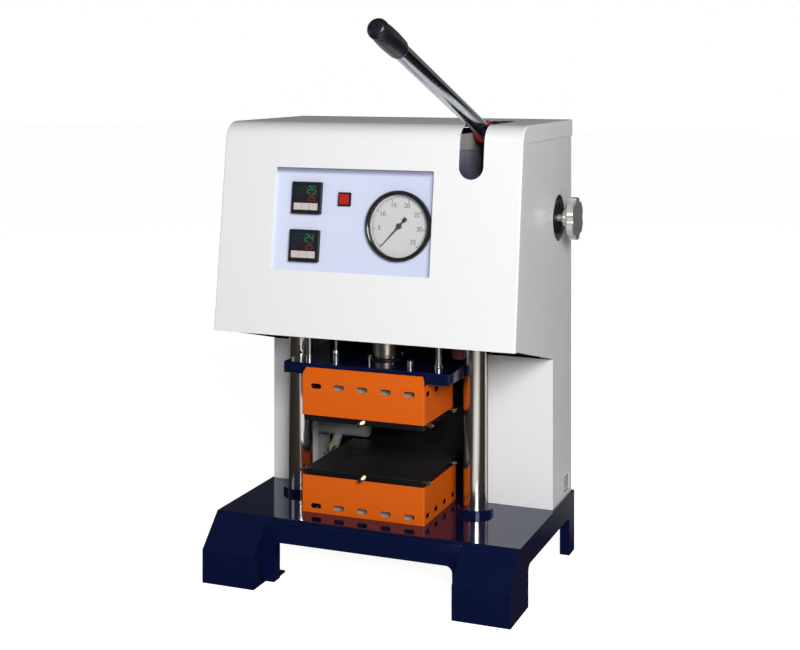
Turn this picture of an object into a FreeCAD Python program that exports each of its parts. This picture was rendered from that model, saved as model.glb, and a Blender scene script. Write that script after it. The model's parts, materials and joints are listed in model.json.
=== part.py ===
import FreeCAD, Part
import math
import os
import Sketcher

# Laboratory hot press: a two-column bench press with heated platens, a hand pump and its lever
# in a sheet-steel head, and a navy folded base. Millimetres, +Z up, +Y to the rear.
# The origin lies on the bench, at the centre of the base's footprint.

Vector = FreeCAD.Vector
Rotation = FreeCAD.Rotation
Placement = FreeCAD.Placement

doc = FreeCAD.newDocument("hot_press")
sheet = doc.addObject("Spreadsheet::Sheet", "dims")
row_count = 0


# A size holds a number and the sheet expression that it comes from, so that sums of sizes
# can be bound to the drawing as well as used to place its first geometry.
class Size:
    def __init__(self, number, text):
        self.number = number
        self.text = text

    def __add__(self, other):
        return Size(self.number + number_of(other), f"({self.text} + {text_of(other)})")

    def __radd__(self, other):
        return Size(number_of(other) + self.number, f"({text_of(other)} + {self.text})")

    def __sub__(self, other):
        return Size(self.number - number_of(other), f"({self.text} - {text_of(other)})")

    def __rsub__(self, other):
        return Size(number_of(other) - self.number, f"({text_of(other)} - {self.text})")

    def __mul__(self, other):
        return Size(self.number * number_of(other), f"({self.text} * {text_of(other)})")

    def __rmul__(self, other):
        return Size(number_of(other) * self.number, f"({text_of(other)} * {self.text})")

    def __truediv__(self, other):
        return Size(self.number / number_of(other), f"({self.text} / {text_of(other)})")

    def __neg__(self):
        return Size(-self.number, f"(0 - {self.text})")


def number_of(value):
    return value.number if isinstance(value, Size) else float(value)


def text_of(value):
    return value.text if isinstance(value, Size) else f"({float(value)})"


def sine(angle):
    return Size(math.sin(math.radians(angle.number)), f"sin({angle.text})")


def cosine(angle):
    return Size(math.cos(math.radians(angle.number)), f"cos({angle.text})")


def tangent(angle):
    return Size(math.tan(math.radians(angle.number)), f"tan({angle.text})")


# One driving dimension: a row of the sheet with its name, its number and what it is
def driving(alias, number, note):
    global row_count
    row_count += 1
    sheet.set(f"A{row_count}", alias)
    sheet.set(f"B{row_count}", str(number))
    sheet.set(f"C{row_count}", note)
    sheet.setAlias(f"B{row_count}", alias)
    return Size(float(number), f"dims.{alias}")


# Base and covers
base_half = driving("base_half", 241.7, "half the width of the base")
base_top = driving("base_top", 96, "height of the base's top plate")
base_apron = driving("base_apron", -131.3, "front apron of the base")
base_rear = driving("base_rear", 171.2, "rear face of the base")
base_wall = driving("base_wall", 3, "sheet of the base")
shoe_rise = driving("shoe_rise", 46, "height and reach of a shoe's 45 degree slope")
shoe_inner = driving("shoe_inner", 155, "inner side of a shoe")
arch_half = driving("arch_half", 141.5, "half width of the front cut-out")
arch_top = driving("arch_top", 60, "height of the cut-outs")
cover_sheet = driving("cover_sheet", 1.5, "sheet of the covers")
panel_half = driving("panel_half", 237.6, "outside of a side panel")
cabinet_front = driving("cabinet_front", 56.7, "front plane of the lower cabinet")
cabinet_rear = driving("cabinet_rear", 168.7, "rear plane of the covers")
face_foot = driving("face_foot", -141.9, "foot of the leaning front face")
face_low = driving("face_low", 373.5, "height of the foot of the front face")
face_lean = driving("face_lean", 7.513, "lean of the front face, degrees")
roof_top = driving("roof_top", 689.4, "top of the head")
roof_bend = driving("roof_bend", 30, "bend between front face and roof")

# Press unit
axis_x = driving("axis_x", -18.5, "press axis, across")
axis_y = driving("axis_y", 10, "press axis, front to back")
column_offset = driving("column_offset", 147.5, "column from the press axis")
column_r = driving("column_r", 19, "radius of a column")
neck_r = driving("neck_r", 12, "radius of a column's threaded neck")
plate_low = driving("plate_low", 303, "underside of the moving plate")
plate_top = driving("plate_top", 320.5, "top of the moving plate")
crosshead_low = driving("crosshead_low", 430, "underside of the crosshead")
crosshead_top = driving("crosshead_top", 466, "top of the crosshead")
platen_half = driving("platen_half", 92, "half the depth of a platen")
platen_wide = driving("platen_wide", 97.8, "half the width of a platen")
lower_face = driving("lower_face", 161.5, "working face of the lower platen")
upper_face = driving("upper_face", 235, "working face of the upper platen")
guard_half = driving("guard_half", 100, "half the width of a guard")
guard_front = driving("guard_front", -84.5, "front of a guard")
guard_sheet = driving("guard_sheet", 1.5, "sheet of a guard")
ram_r = driving("ram_r", 21, "radius of the ram")
bore_r = driving("bore_r", 38.05, "bore of the cylinder")

# Pump and lever
lever_x = driving("lever_x", 162.35, "plane in which the lever swings")
pivot_y = driving("pivot_y", 9.7, "lever pivot, front to back")
pivot_z = driving("pivot_z", 658.8, "lever pivot, height")
lever_rise = driving("lever_rise", 19.1, "lever above level at rest, degrees")
heel_base = driving("heel_base", 12, "base circle of the lever's heel")
slot_half = driving("slot_half", 18.7, "half width of the lever's slot")

# Instruments on the leaning panel, measured up the face from its foot
control_s = driving("control_s", 205.5, "upper controller and switch, up the face")
control_low = driving("control_low", 134.3, "lower controller, up the face")
control_x = driving("control_x", -95.5, "controllers, across")
switch_x = driving("switch_x", -34.7, "switch, across")
gauge_x = driving("gauge_x", 53.9, "gauge, across")
gauge_s = driving("gauge_s", 169.4, "gauge, up the face")
panel_drop = driving("panel_drop", 4.5, "panel behind the front face")
valve_y = driving("valve_y", 94.7, "release valve, front to back")
valve_z = driving("valve_z", 539, "release valve, height")

# Small counts and clearances that are not sizes of the object
RUNNING_GAP = 0.05
THROUGH = 400

nodes = {}


def bind(thing, name, value):
    if "." not in name:
        setattr(thing, name, number_of(value))
    if isinstance(value, Size):
        thing.setExpression(name, value.text)


# Sets a placement from a point and a turn, and binds each coordinate that is a size
def place(thing, x, y, z, turn=Rotation(), prefix="Placement"):
    spot = Vector(number_of(x), number_of(y), number_of(z))
    setattr(thing, prefix, Placement(spot, turn))
    for letter, value in (("x", x), ("y", y), ("z", z)):
        if isinstance(value, Size):
            thing.setExpression(f"{prefix}.Base.{letter}", value.text)


# Keeps a finished sub-part under its own name
def keep(name, thing):
    thing.Label = name
    nodes[name] = thing
    return thing


# A body with its sketches. Planes are "top" (x, y), "front" (x, z) and "side" (y, z).
class Piece:
    PLANES = {"top": "XY_Plane", "front": "XZ_Plane", "side": "YZ_Plane"}

    def __init__(self, name):
        self.name = name
        self.count = 0
        self.body = doc.addObject("PartDesign::Body", name)

    def next_name(self, kind):
        self.count += 1
        return f"{self.name}_{kind}_{self.count}"

    def sketch(self, plane, offset=0, frame=None):
        drawing = self.body.newObject("Sketcher::SketchObject", self.next_name("sketch"))
        role = self.PLANES[plane]
        support = [item for item in self.body.Origin.OriginFeatures if item.Role == role][0]
        drawing.AttachmentSupport = [(support, "")]
        drawing.MapMode = "FlatFace"
        if frame is not None:
            drawing.AttachmentOffset = frame
        elif number_of(offset) != 0:
            place(drawing, 0, 0, offset, prefix="AttachmentOffset")
        return drawing

    def feature(self, kind, drawing, low, high):
        made = self.body.newObject(f"PartDesign::{kind}", self.next_name(kind.lower()))
        made.Profile = drawing
        bind(made, "Length", high - low)
        made.Refine = True
        drawing.Visibility = False
        self.body.Tip = made
        return made

    # Material between two levels along the plane's axis
    def pad(self, plane, low, high, *shapes):
        offset = -high if plane == "front" else low
        drawing = self.sketch(plane, offset)
        draw(drawing, shapes)
        return self.feature("Pad", drawing, low, high)

    # A cut between two levels along the plane's axis
    def pocket(self, plane, low, high, *shapes):
        offset = -low if plane == "front" else high
        drawing = self.sketch(plane, offset)
        draw(drawing, shapes)
        return self.feature("Pocket", drawing, low, high)

    # The same two on the leaning face, whose normal points out of it
    def face_pad(self, low, high, *shapes):
        drawing = self.sketch("top", frame=leaning_frame(low))
        draw(drawing, shapes)
        return self.feature("Pad", drawing, low, high)

    def face_pocket(self, low, high, *shapes):
        drawing = self.sketch("top", frame=leaning_frame(high))
        draw(drawing, shapes)
        return self.feature("Pocket", drawing, low, high)

    # A turned form about the body's own Z, from a half section in radius and height
    def turn(self, *shapes):
        return self.turned("Revolution", shapes)

    def groove(self, *shapes):
        return self.turned("Groove", shapes)

    def turned(self, kind, shapes):
        drawing = self.sketch("front")
        draw(drawing, shapes)
        made = self.body.newObject(f"PartDesign::{kind}", self.next_name(kind.lower()))
        made.Profile = drawing
        made.ReferenceAxis = (drawing, ["V_Axis"])
        made.Angle = 360
        drawing.Visibility = False
        self.body.Tip = made
        return made

    # Rounds or chamfers the edges whose middle passes the test
    def dress(self, kind, size, test):
        doc.recompute()
        tip = self.body.Tip
        chosen = []
        for index, edge in enumerate(tip.Shape.Edges, start=1):
            middle = edge.valueAt((edge.FirstParameter + edge.LastParameter) / 2)
            if test(edge, middle):
                chosen.append(f"Edge{index}")
        if not chosen:
            raise ValueError(f"{self.name}: no edge to {kind.lower()}")
        made = self.body.newObject(f"PartDesign::{kind}", self.next_name(kind.lower()))
        made.Base = (tip, chosen)
        bind(made, "Radius" if kind == "Fillet" else "Size", size)
        self.body.Tip = made
        return made

    def fillet(self, size, test):
        return self.dress("Fillet", size, test)

    def chamfer(self, size, test):
        return self.dress("Chamfer", size, test)

    def keep(self, name=None):
        return keep(name or self.name, self.body)


def leaning_frame(normal):
    up = math.radians(face_lean.number)
    level = number_of(normal)
    spot = Vector(0, face_foot.number - level * math.cos(up), face_low.number + level * math.sin(up))
    return Placement(spot, Rotation(Vector(1, 0, 0), 90 - face_lean.number))


# Shapes for a sketch: a closed outline of corners (x, y) or (x, y, round), and a circle
class Outline:
    def __init__(self, *corners):
        self.corners = corners


class Circle:
    def __init__(self, x, y, radius):
        self.x = x
        self.y = y
        self.radius = radius


def rectangle(x_low, y_low, x_high, y_high, corner=None):
    spots = ((x_low, y_low), (x_high, y_low), (x_high, y_high), (x_low, y_high))
    if corner is None:
        return Outline(*spots)
    return Outline(*[(x, y, corner) for x, y in spots])


def draw(drawing, shapes):
    for shape in shapes:
        if isinstance(shape, Circle):
            draw_circle(drawing, shape)
        else:
            draw_outline(drawing, shape.corners)


def fix_point(drawing, geometry, position, x, y):
    for kind, value in (("DistanceX", x), ("DistanceY", y)):
        number = drawing.addConstraint(
            Sketcher.Constraint(kind, -1, 1, geometry, position, number_of(value)))
        if isinstance(value, Size):
            drawing.setExpression(f"Constraints[{number}]", value.text)


def draw_circle(drawing, circle):
    centre = Vector(number_of(circle.x), number_of(circle.y), 0)
    normal = Vector(0, 0, 1)
    index = drawing.addGeometry(Part.Circle(centre, normal, number_of(circle.radius)), False)
    fix_point(drawing, index, 3, circle.x, circle.y)
    fixed = drawing.addConstraint(Sketcher.Constraint("Radius", index, number_of(circle.radius)))
    if isinstance(circle.radius, Size):
        drawing.setExpression(f"Constraints[{fixed}]", circle.radius.text)


# Where a round leaves the two sides of its corner, and the middle of its arc
def round_points(before, corner, after, radius):
    towards = (before - corner).normalize()
    away = (after - corner).normalize()
    half = towards.getAngle(away) / 2
    reach = radius / math.tan(half)
    bisector = (towards + away).normalize()
    middle = corner + bisector * (radius / math.sin(half) - radius)
    return corner + towards * reach, middle, corner + away * reach


def draw_outline(drawing, corners):
    spots = [Vector(number_of(item[0]), number_of(item[1]), 0) for item in corners]
    total = len(spots)
    rounds = {}
    for index, item in enumerate(corners):
        if len(item) > 2:
            before = spots[index - 1]
            after = spots[(index + 1) % total]
            rounds[index] = round_points(before, spots[index], after, number_of(item[2]))
    lines = []
    for index in range(total):
        following = (index + 1) % total
        start = rounds[index][2] if index in rounds else spots[index]
        end = rounds[following][0] if following in rounds else spots[following]
        lines.append(drawing.addGeometry(Part.LineSegment(start, end), False))
    for index, item in enumerate(corners):
        before = lines[index - 1]
        after = lines[index]
        if index not in rounds:
            drawing.addConstraint(Sketcher.Constraint("Coincident", before, 2, after, 1))
            fix_point(drawing, after, 1, item[0], item[1])
            continue
        start, middle, end = rounds[index]
        arc = drawing.addGeometry(Part.Arc(start, middle, end), False)
        first = 1 if drawing.getPoint(arc, 1).distanceToPoint(start) < 1e-6 else 2
        second = 3 - first
        drawing.addConstraint(Sketcher.Constraint("Tangent", before, 2, arc, first))
        drawing.addConstraint(Sketcher.Constraint("Tangent", arc, second, after, 1))
        corner = drawing.addGeometry(Part.Point(spots[index]), True)
        fix_point(drawing, corner, 1, item[0], item[1])
        drawing.addConstraint(Sketcher.Constraint("PointOnObject", corner, 1, before))
        drawing.addConstraint(Sketcher.Constraint("PointOnObject", corner, 1, after))
        fixed = drawing.addConstraint(Sketcher.Constraint("Radius", arc, number_of(item[2])))
        if isinstance(item[2], Size):
            drawing.setExpression(f"Constraints[{fixed}]", item[2].text)


# Plain primitives for hardware, bound the same way
def cylinder(name, x, y, z, radius, height, direction=Vector(0, 0, 1)):
    made = doc.addObject("Part::Cylinder", name)
    bind(made, "Radius", radius)
    bind(made, "Height", height)
    place(made, x, y, z, Rotation(Vector(0, 0, 1), direction))
    return made


def joined(kind, name, things):
    made = doc.addObject(kind, name)
    if kind == "Part::Compound":
        made.Links = things
    else:
        made.Shapes = things
    return made


def compound(name, things):
    return keep(name, joined("Part::Compound", f"{name}_group", things))


def is_vertical(edge):
    return edge.Curve.TypeId == "Part::GeomLine" and abs(edge.tangentAt(edge.FirstParameter).z) > 0.999


FRONT = Vector(0, -1, 0)
REAR = Vector(0, 1, 0)
RIGHT = Vector(1, 0, 0)
LEFT = Vector(-1, 0, 0)
UP = Vector(0, 0, 1)


# Folded steel base: a tray open below, with two sloping shoes at the front, four corner legs
# left by the arches, and soles and return flanges welded inside the legs
def build_base():
    piece = Piece("base_frame")
    sole = 4
    lip = 20
    top_front = base_apron + 6
    shoe_front = top_front - shoe_rise
    shoe_top = base_top - shoe_rise
    inner_half = base_half - base_wall
    inner_top = base_top - base_wall
    slope_shift = base_wall * (math.sqrt(2) - 1)
    piece.pad("top", 0, base_top, rectangle(-shoe_inner, base_apron, shoe_inner, base_rear))
    piece.fillet(6, lambda edge, middle: abs(middle.y - base_apron.number) < 0.01
                 and abs(middle.z - base_top.number) < 0.01)
    side = Outline((base_rear, 0), (base_rear, base_top), (top_front, base_top),
                   (shoe_front, shoe_top), (shoe_front, 0))
    piece.pad("side", shoe_inner, base_half, side)
    piece.pad("side", -base_half, -shoe_inner, side)
    hollow_rear = base_rear - base_wall
    hollow = Outline((hollow_rear, -1), (hollow_rear, inner_top), (top_front + slope_shift, inner_top),
                     (shoe_front + base_wall, shoe_top - slope_shift), (shoe_front + base_wall, -1))
    piece.pocket("top", -1, inner_top, rectangle(
        -shoe_inner - base_wall, base_apron + base_wall, shoe_inner + base_wall, hollow_rear))
    piece.pocket("side", shoe_inner + base_wall, inner_half, hollow)
    piece.pocket("side", -inner_half, -shoe_inner - base_wall, hollow)
    arch_round = 10
    rear_arch = 219
    side_front = -85.3
    side_rear = 140
    piece.pocket("front", base_apron - 1, base_apron + base_wall + 1, Outline(
        (-arch_half, -1), (arch_half, -1), (arch_half, arch_top, arch_round),
        (-arch_half, arch_top, arch_round)))
    piece.pocket("front", hollow_rear - 1, base_rear + 1, Outline(
        (-rear_arch, -1), (rear_arch, -1), (rear_arch, arch_top, arch_round),
        (-rear_arch, arch_top, arch_round)))
    piece.pocket("side", -base_half - 1, base_half + 1, Outline(
        (side_front, -1), (side_rear, -1), (side_rear, arch_top, arch_round),
        (side_front, arch_top, arch_round)))
    inside = base_apron + base_wall
    for sign in (-1, 1):
        edge = sign * arch_half
        fold = sign * (arch_half + base_wall)
        low, high = (fold, edge) if sign < 0 else (edge, fold)
        piece.pad("top", 0, inner_top, rectangle(low, base_apron, high, base_apron + lip))
        outer = sign * inner_half
        reach = sign * (base_half - 16)
        low, high = (outer, reach) if sign < 0 else (reach, outer)
        piece.pad("top", 0, inner_top, rectangle(low, side_rear, high, side_rear + base_wall))
        piece.pad("top", 0, inner_top, rectangle(low, side_front - base_wall, high, side_front))
        rear_inner = sign * (base_half - 16)
        low, high = (outer, rear_inner) if sign < 0 else (rear_inner, outer)
        piece.pad("top", 0, sole, rectangle(low, side_rear + base_wall, high, hollow_rear))
        front_inner = fold
        low, high = (outer, front_inner) if sign < 0 else (front_inner, outer)
        piece.pad("top", 0, sole, rectangle(low, inside, high, side_front - base_wall))
        shoe_low = sign * (shoe_inner + base_wall)
        low, high = (outer, shoe_low) if sign < 0 else (shoe_low, outer)
        piece.pad("top", 0, sole, rectangle(low, shoe_front + base_wall, high, inside))
    hole = neck_r + 0.2
    piece.pocket("top", inner_top - 1, base_top + 1,
                 Circle(axis_x - column_offset, axis_y, hole), Circle(axis_x + column_offset, axis_y, hole))
    piece.keep()


# Thick bed under the base's top, which the columns are bolted to
def build_bed():
    piece = Piece("bed_plate")
    thickness = 22
    under = base_top - base_wall
    half_x = 185
    half_y = 100
    piece.pad("top", under - thickness, under,
              rectangle(axis_x - half_x, axis_y - half_y, axis_x + half_x, axis_y + half_y, 6),
              Circle(axis_x - column_offset, axis_y, neck_r + RUNNING_GAP),
              Circle(axis_x + column_offset, axis_y, neck_r + RUNNING_GAP))
    piece.keep()


# Ground columns with a shoulder at each end and a thread for the nuts
def build_columns():
    columns = []
    collars = []
    nuts = []
    neck_low = 49
    neck_high = 492
    nut_height = 19
    nut_across = 36
    collar_r = 27.5
    collar_height = 8.5
    bed_under = base_top - base_wall - 22
    for side, sign in (("left", -1), ("right", 1)):
        x = axis_x + sign * column_offset
        column = Piece(f"column_{side}")
        column.turn(Outline(
            (0, neck_low), (neck_r - 1.5, neck_low), (neck_r, neck_low + 1.5), (neck_r, base_top),
            (column_r, base_top), (column_r, crosshead_low), (neck_r, crosshead_low),
            (neck_r, neck_high - 1.5), (neck_r - 1.5, neck_high), (0, neck_high)))
        place(column.body, x, axis_y, 0)
        columns.append(column.body)
        collar = Piece(f"collar_{side}")
        inner = column_r + RUNNING_GAP
        top = base_top + collar_height
        collar.turn(Outline((inner, base_top), (collar_r, base_top), (collar_r, top - 1.2),
                            (collar_r - 1.2, top), (inner, top)))
        place(collar.body, x, axis_y, 0)
        collars.append(collar.body)
        for end, low in (("low", bed_under - nut_height), ("high", crosshead_top)):
            nut = Piece(f"column_nut_{side}_{end}")
            corner_r = nut_across / math.sqrt(3)
            hexagon = [(corner_r * math.cos(math.radians(60 * step)),
                        corner_r * math.sin(math.radians(60 * step))) for step in range(6)]
            nut.pad("top", 0, nut_height, Outline(*hexagon), Circle(0, 0, neck_r + RUNNING_GAP))
            place(nut.body, x, axis_y, low)
            nuts.append(nut.body)
    compound("columns", columns)
    compound("column_collars", collars)
    compound("column_nuts", nuts)


# Crosshead on top of the columns: it carries the cylinder, the pump and the return springs
def build_crosshead():
    piece = Piece("crosshead")
    piece.pad("top", crosshead_low, crosshead_top,
              rectangle(-195, -55, 188, 80, 8),
              Circle(axis_x - column_offset, axis_y, neck_r + RUNNING_GAP),
              Circle(axis_x + column_offset, axis_y, neck_r + RUNNING_GAP),
              Circle(axis_x, axis_y, 35.02),
              Circle(axis_x - ROD_OFFSET, ROD_Y, 6), Circle(axis_x + ROD_OFFSET, ROD_Y, 6))
    piece.chamfer(2, lambda edge, middle: edge.Curve.TypeId == "Part::GeomLine"
                  and not is_vertical(edge) and abs(middle.z - crosshead_top.number) < 0.01)
    piece.keep()


ROD_OFFSET = 107
ROD_Y = -43
PROBE_OFFSET = 61.5


# Hydraulic cylinder: its gland reaches down through the crosshead and its cap takes the gauge
def build_cylinder():
    piece = Piece("cylinder")
    gland_r = 34.95
    foot_r = 52
    barrel_r = 46
    cap = 600
    piece.turn(Outline(
        (ram_r + RUNNING_GAP, 434), (gland_r - 2, 434), (gland_r, 436), (gland_r, crosshead_top),
        (foot_r, crosshead_top), (foot_r, 479), (barrel_r, 483), (barrel_r, cap - 3),
        (barrel_r - 3, cap), (0, cap), (0, 588), (bore_r, 588), (bore_r, 474), (ram_r + RUNNING_GAP, 474)))
    piece.pad("side", 0, barrel_r + 10, Circle(0, 576, 8))
    piece.groove(rectangle(0, 560, bore_r, 588))
    place(piece.body, axis_x, axis_y, 0)
    piece.keep()


# Ram and piston in one piece, with two seal grooves in the piston
def build_ram():
    piece = Piece("ram")
    piston_low = 548
    piston_top = 572
    piston_r = bore_r - RUNNING_GAP
    piece.turn(Outline(
        (0, plate_top), (ram_r, plate_top), (ram_r, piston_low), (piston_r, piston_low),
        (piston_r, piston_low + 5), (piston_r - 3, piston_low + 5), (piston_r - 3, piston_low + 9),
        (piston_r, piston_low + 9), (piston_r, piston_low + 14), (piston_r - 3, piston_low + 14),
        (piston_r - 3, piston_low + 18), (piston_r, piston_low + 18), (piston_r, piston_top - 1),
        (piston_r - 1, piston_top), (0, piston_top)))
    place(piece.body, axis_x, axis_y, 0)
    piece.keep()
    flange = Piece("ram_flange")
    flange_r = 33
    flange_top = plate_top + 3.5
    flange.turn(Outline(
        (ram_r + RUNNING_GAP, plate_top), (flange_r, plate_top), (flange_r, flange_top - 1.2),
        (flange_r - 1.2, flange_top), (ram_r + RUNNING_GAP, flange_top)))
    place(flange.body, axis_x, axis_y, 0)
    flange.keep()


# Moving plate, notched at both ends round the columns
def build_moving_plate():
    piece = Piece("moving_plate")
    half_x = 136
    half_y = 85.3
    notch_r = column_r + 0.6
    piece.pad("top", plate_low, plate_top,
              rectangle(axis_x - half_x, axis_y - half_y, axis_x + half_x, axis_y + half_y, 3))
    piece.pocket("top", plate_low - 1, plate_top + 1,
                 Circle(axis_x - column_offset, axis_y, notch_r),
                 Circle(axis_x + column_offset, axis_y, notch_r))
    piece.pocket("top", plate_low - 1, plate_top + 1, Circle(axis_x - PROBE_OFFSET, ROD_Y, 2.1))
    piece.chamfer(1, lambda edge, middle: edge.Curve.TypeId == "Part::GeomLine"
                  and abs(middle.y - (axis_y - half_y).number) < 0.01 and not is_vertical(edge))
    piece.keep()


# One platen stack: a board that keeps the heat in, the platen with its three heater bores,
# and the heaters with their ends standing out at the rear
def build_stack(name, board_low, board_high, platen_low, platen_high):
    board = Piece(f"{name}_insulation")
    board_half = 75
    holes = []
    if name == "upper":
        holes = [Circle(axis_x - PROBE_OFFSET, ROD_Y, 2.1)]
    board.pad("top", board_low, board_high,
              rectangle(axis_x - board_half, axis_y - board_half, axis_x + board_half,
                        axis_y + board_half), *holes)
    board.keep()
    platen = Piece(f"{name}_platen")
    platen.pad("top", platen_low, platen_high,
               rectangle(axis_x - platen_wide, axis_y - platen_half, axis_x + platen_wide,
                         axis_y + platen_half, 2))
    heater_r = 6.25
    heater_z = (platen_low + platen_high) / 2
    heater_pitch = 56
    heater_front = axis_y - 70
    heater_rear = axis_y + platen_half + 9
    spots = [axis_x + step * heater_pitch for step in (-1, 0, 1)]
    platen.pocket("front", heater_front, heater_rear,
                  *[Circle(x, heater_z, heater_r + RUNNING_GAP) for x in spots])
    if name == "upper":
        platen.pocket("top", platen_high - 15, platen_high + 1,
                      Circle(axis_x - PROBE_OFFSET, ROD_Y, 2.1))
    platen.chamfer(1, lambda edge, middle: edge.Curve.TypeId == "Part::GeomLine"
                   and not is_vertical(edge))
    platen.keep()
    rods = []
    for index, x in enumerate(spots):
        rods.append(cylinder(f"{name}_heater_{index}", x, heater_front, heater_z, heater_r,
                             heater_rear - heater_front, REAR))
    compound(f"{name}_heaters", rods)


# Guards: one sheet folded round the front and both sides of a platen, with vent slots
def build_guards():
    slot_w = 16.5
    slot_h = 7.5
    slot_corner = 3
    slot_pitch = 38
    left = axis_x - guard_half
    right = axis_x + guard_half

    def slot(centre_x, centre_z):
        return rectangle(centre_x - slot_w / 2, centre_z - slot_h / 2,
                         centre_x + slot_w / 2, centre_z + slot_h / 2, slot_corner)

    def folded(piece, low, high, rear):
        inner_front = guard_front + guard_sheet
        piece.pad("top", low, high, Outline(
            (left, rear), (left, guard_front, 2.5), (right, guard_front, 2.5), (right, rear),
            (right - guard_sheet, rear), (right - guard_sheet, inner_front, 1),
            (left + guard_sheet, inner_front, 1), (left + guard_sheet, rear)))

    def slots(piece, front_z, side_z, side_ys):
        piece.pocket("front", guard_front - 1, guard_front + guard_sheet + 1,
                     *[slot(axis_x + step * slot_pitch, front_z) for step in range(-2, 3)])
        piece.pocket("side", left - 1, right + 1, *[slot(y, side_z) for y in side_ys])

    lower = Piece("lower_guard")
    lower_top = 152.5
    folded(lower, base_top, lower_top, 53.7)
    slots(lower, 106.5, 107.5, (-68.5, -32.5, 4.5, 42))
    lower.keep()

    upper = Piece("upper_guard")
    upper_low = 244
    fold = 302.4
    flap_top = 315
    flap_back = 6
    flap_mitre = 4
    folded(upper, upper_low, fold, 40.7)
    inner_front = guard_front + guard_sheet
    upper.pad("side", left + 1, right - 1, Outline(
        (guard_front, fold), (inner_front, fold), (inner_front + flap_back, flap_top),
        (guard_front + flap_back, flap_top)))
    for sign in (-1, 1):
        edge = axis_x + sign * (guard_half + 1)
        upper.pocket("front", guard_front - 1, inner_front + flap_back + 1, Outline(
            (edge, fold + 0.5), (edge, flap_top + 1), (edge - sign * (flap_mitre + 2), flap_top + 1)))
    slots(upper, 288.4, 288, (-67.6, -31.7, 4.5))
    upper.keep()


# Folded wrap cover: front face, roof and the narrow flanges that lap over the side panels
def build_hood():
    piece = Piece("hood_cover")
    lean = tangent(face_lean)
    front_of = lambda z: face_foot + (z - face_low) * lean
    half = panel_half + cover_sheet
    inner_roof = roof_top - cover_sheet
    inner_shift = cover_sheet / cosine(face_lean)
    rear_flange = 15
    foot_lip = 16
    lip_top = face_low + cover_sheet
    piece.pad("side", -half, half, Outline(
        (face_foot, face_low), (front_of(roof_top), roof_top, roof_bend),
        (cabinet_rear, roof_top), (cabinet_rear, roof_top - rear_flange),
        (cabinet_rear - cover_sheet, roof_top - rear_flange),
        (cabinet_rear - cover_sheet, inner_roof),
        (front_of(inner_roof) + inner_shift, inner_roof, roof_bend - cover_sheet),
        (front_of(lip_top) + inner_shift, lip_top), (face_foot + foot_lip, lip_top),
        (face_foot + foot_lip, face_low)))
    flange_width = 20
    flange_drop = 26
    flange_low = roof_top - flange_drop
    flange = Outline(
        (face_foot, face_low), (front_of(roof_top), roof_top, roof_bend), (cabinet_rear, roof_top),
        (cabinet_rear, flange_low), (front_of(flange_low) + flange_width, flange_low, 3),
        (face_foot + flange_width, face_low))
    piece.pad("side", panel_half, half, flange)
    piece.pad("side", -half, -panel_half, flange)
    piece.fillet(2.6, lambda edge, middle: abs(abs(middle.x) - half.number) < 0.01
                 and middle.z > face_low.number + 20 and lies_on_wrap(edge, middle))
    window = (-149.4, 97.5, 105.9, 250.5)
    rim = 1.5
    piece.face_pad(-panel_drop, -cover_sheet, rectangle(
        window[0] - rim, window[1] - rim, window[2] + rim, window[3] + rim, 3))
    piece.face_pocket(-panel_drop - 1, 2, rectangle(*window, 2))
    slot_left = lever_x - slot_half
    slot_right = lever_x + slot_half
    slot_round = slot_half - 0.02
    piece.face_pocket(-80, 4, Outline(
        (slot_left, 240, slot_round), (slot_right, 240, slot_round), (slot_right, 350), (slot_left, 350)))
    slot_rear = 59.7
    piece.pocket("top", roof_top - 8, roof_top + 2, Outline(
        (slot_left, -85), (slot_right, -85), (slot_right, slot_rear, slot_round),
        (slot_left, slot_rear, slot_round)))
    piece.keep()


# True for the long outer edges of the wrap: up the face, over the bend and along the roof
def lies_on_wrap(edge, middle):
    on_roof = abs(middle.z - roof_top.number) < 0.01
    slope = math.tan(math.radians(face_lean.number))
    on_face = abs(middle.y - face_foot.number - (middle.z - face_low.number) * slope) < 0.01
    on_bend = edge.Curve.TypeId == "Part::GeomCircle" and abs(edge.Curve.Radius - roof_bend.number) < 0.01
    return on_roof or on_face or on_bend


REAR_SCREW_X = 196
REAR_SCREW_Z = (112, 290, 470, 655)
REAR_SCREW_R = 1.6


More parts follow.
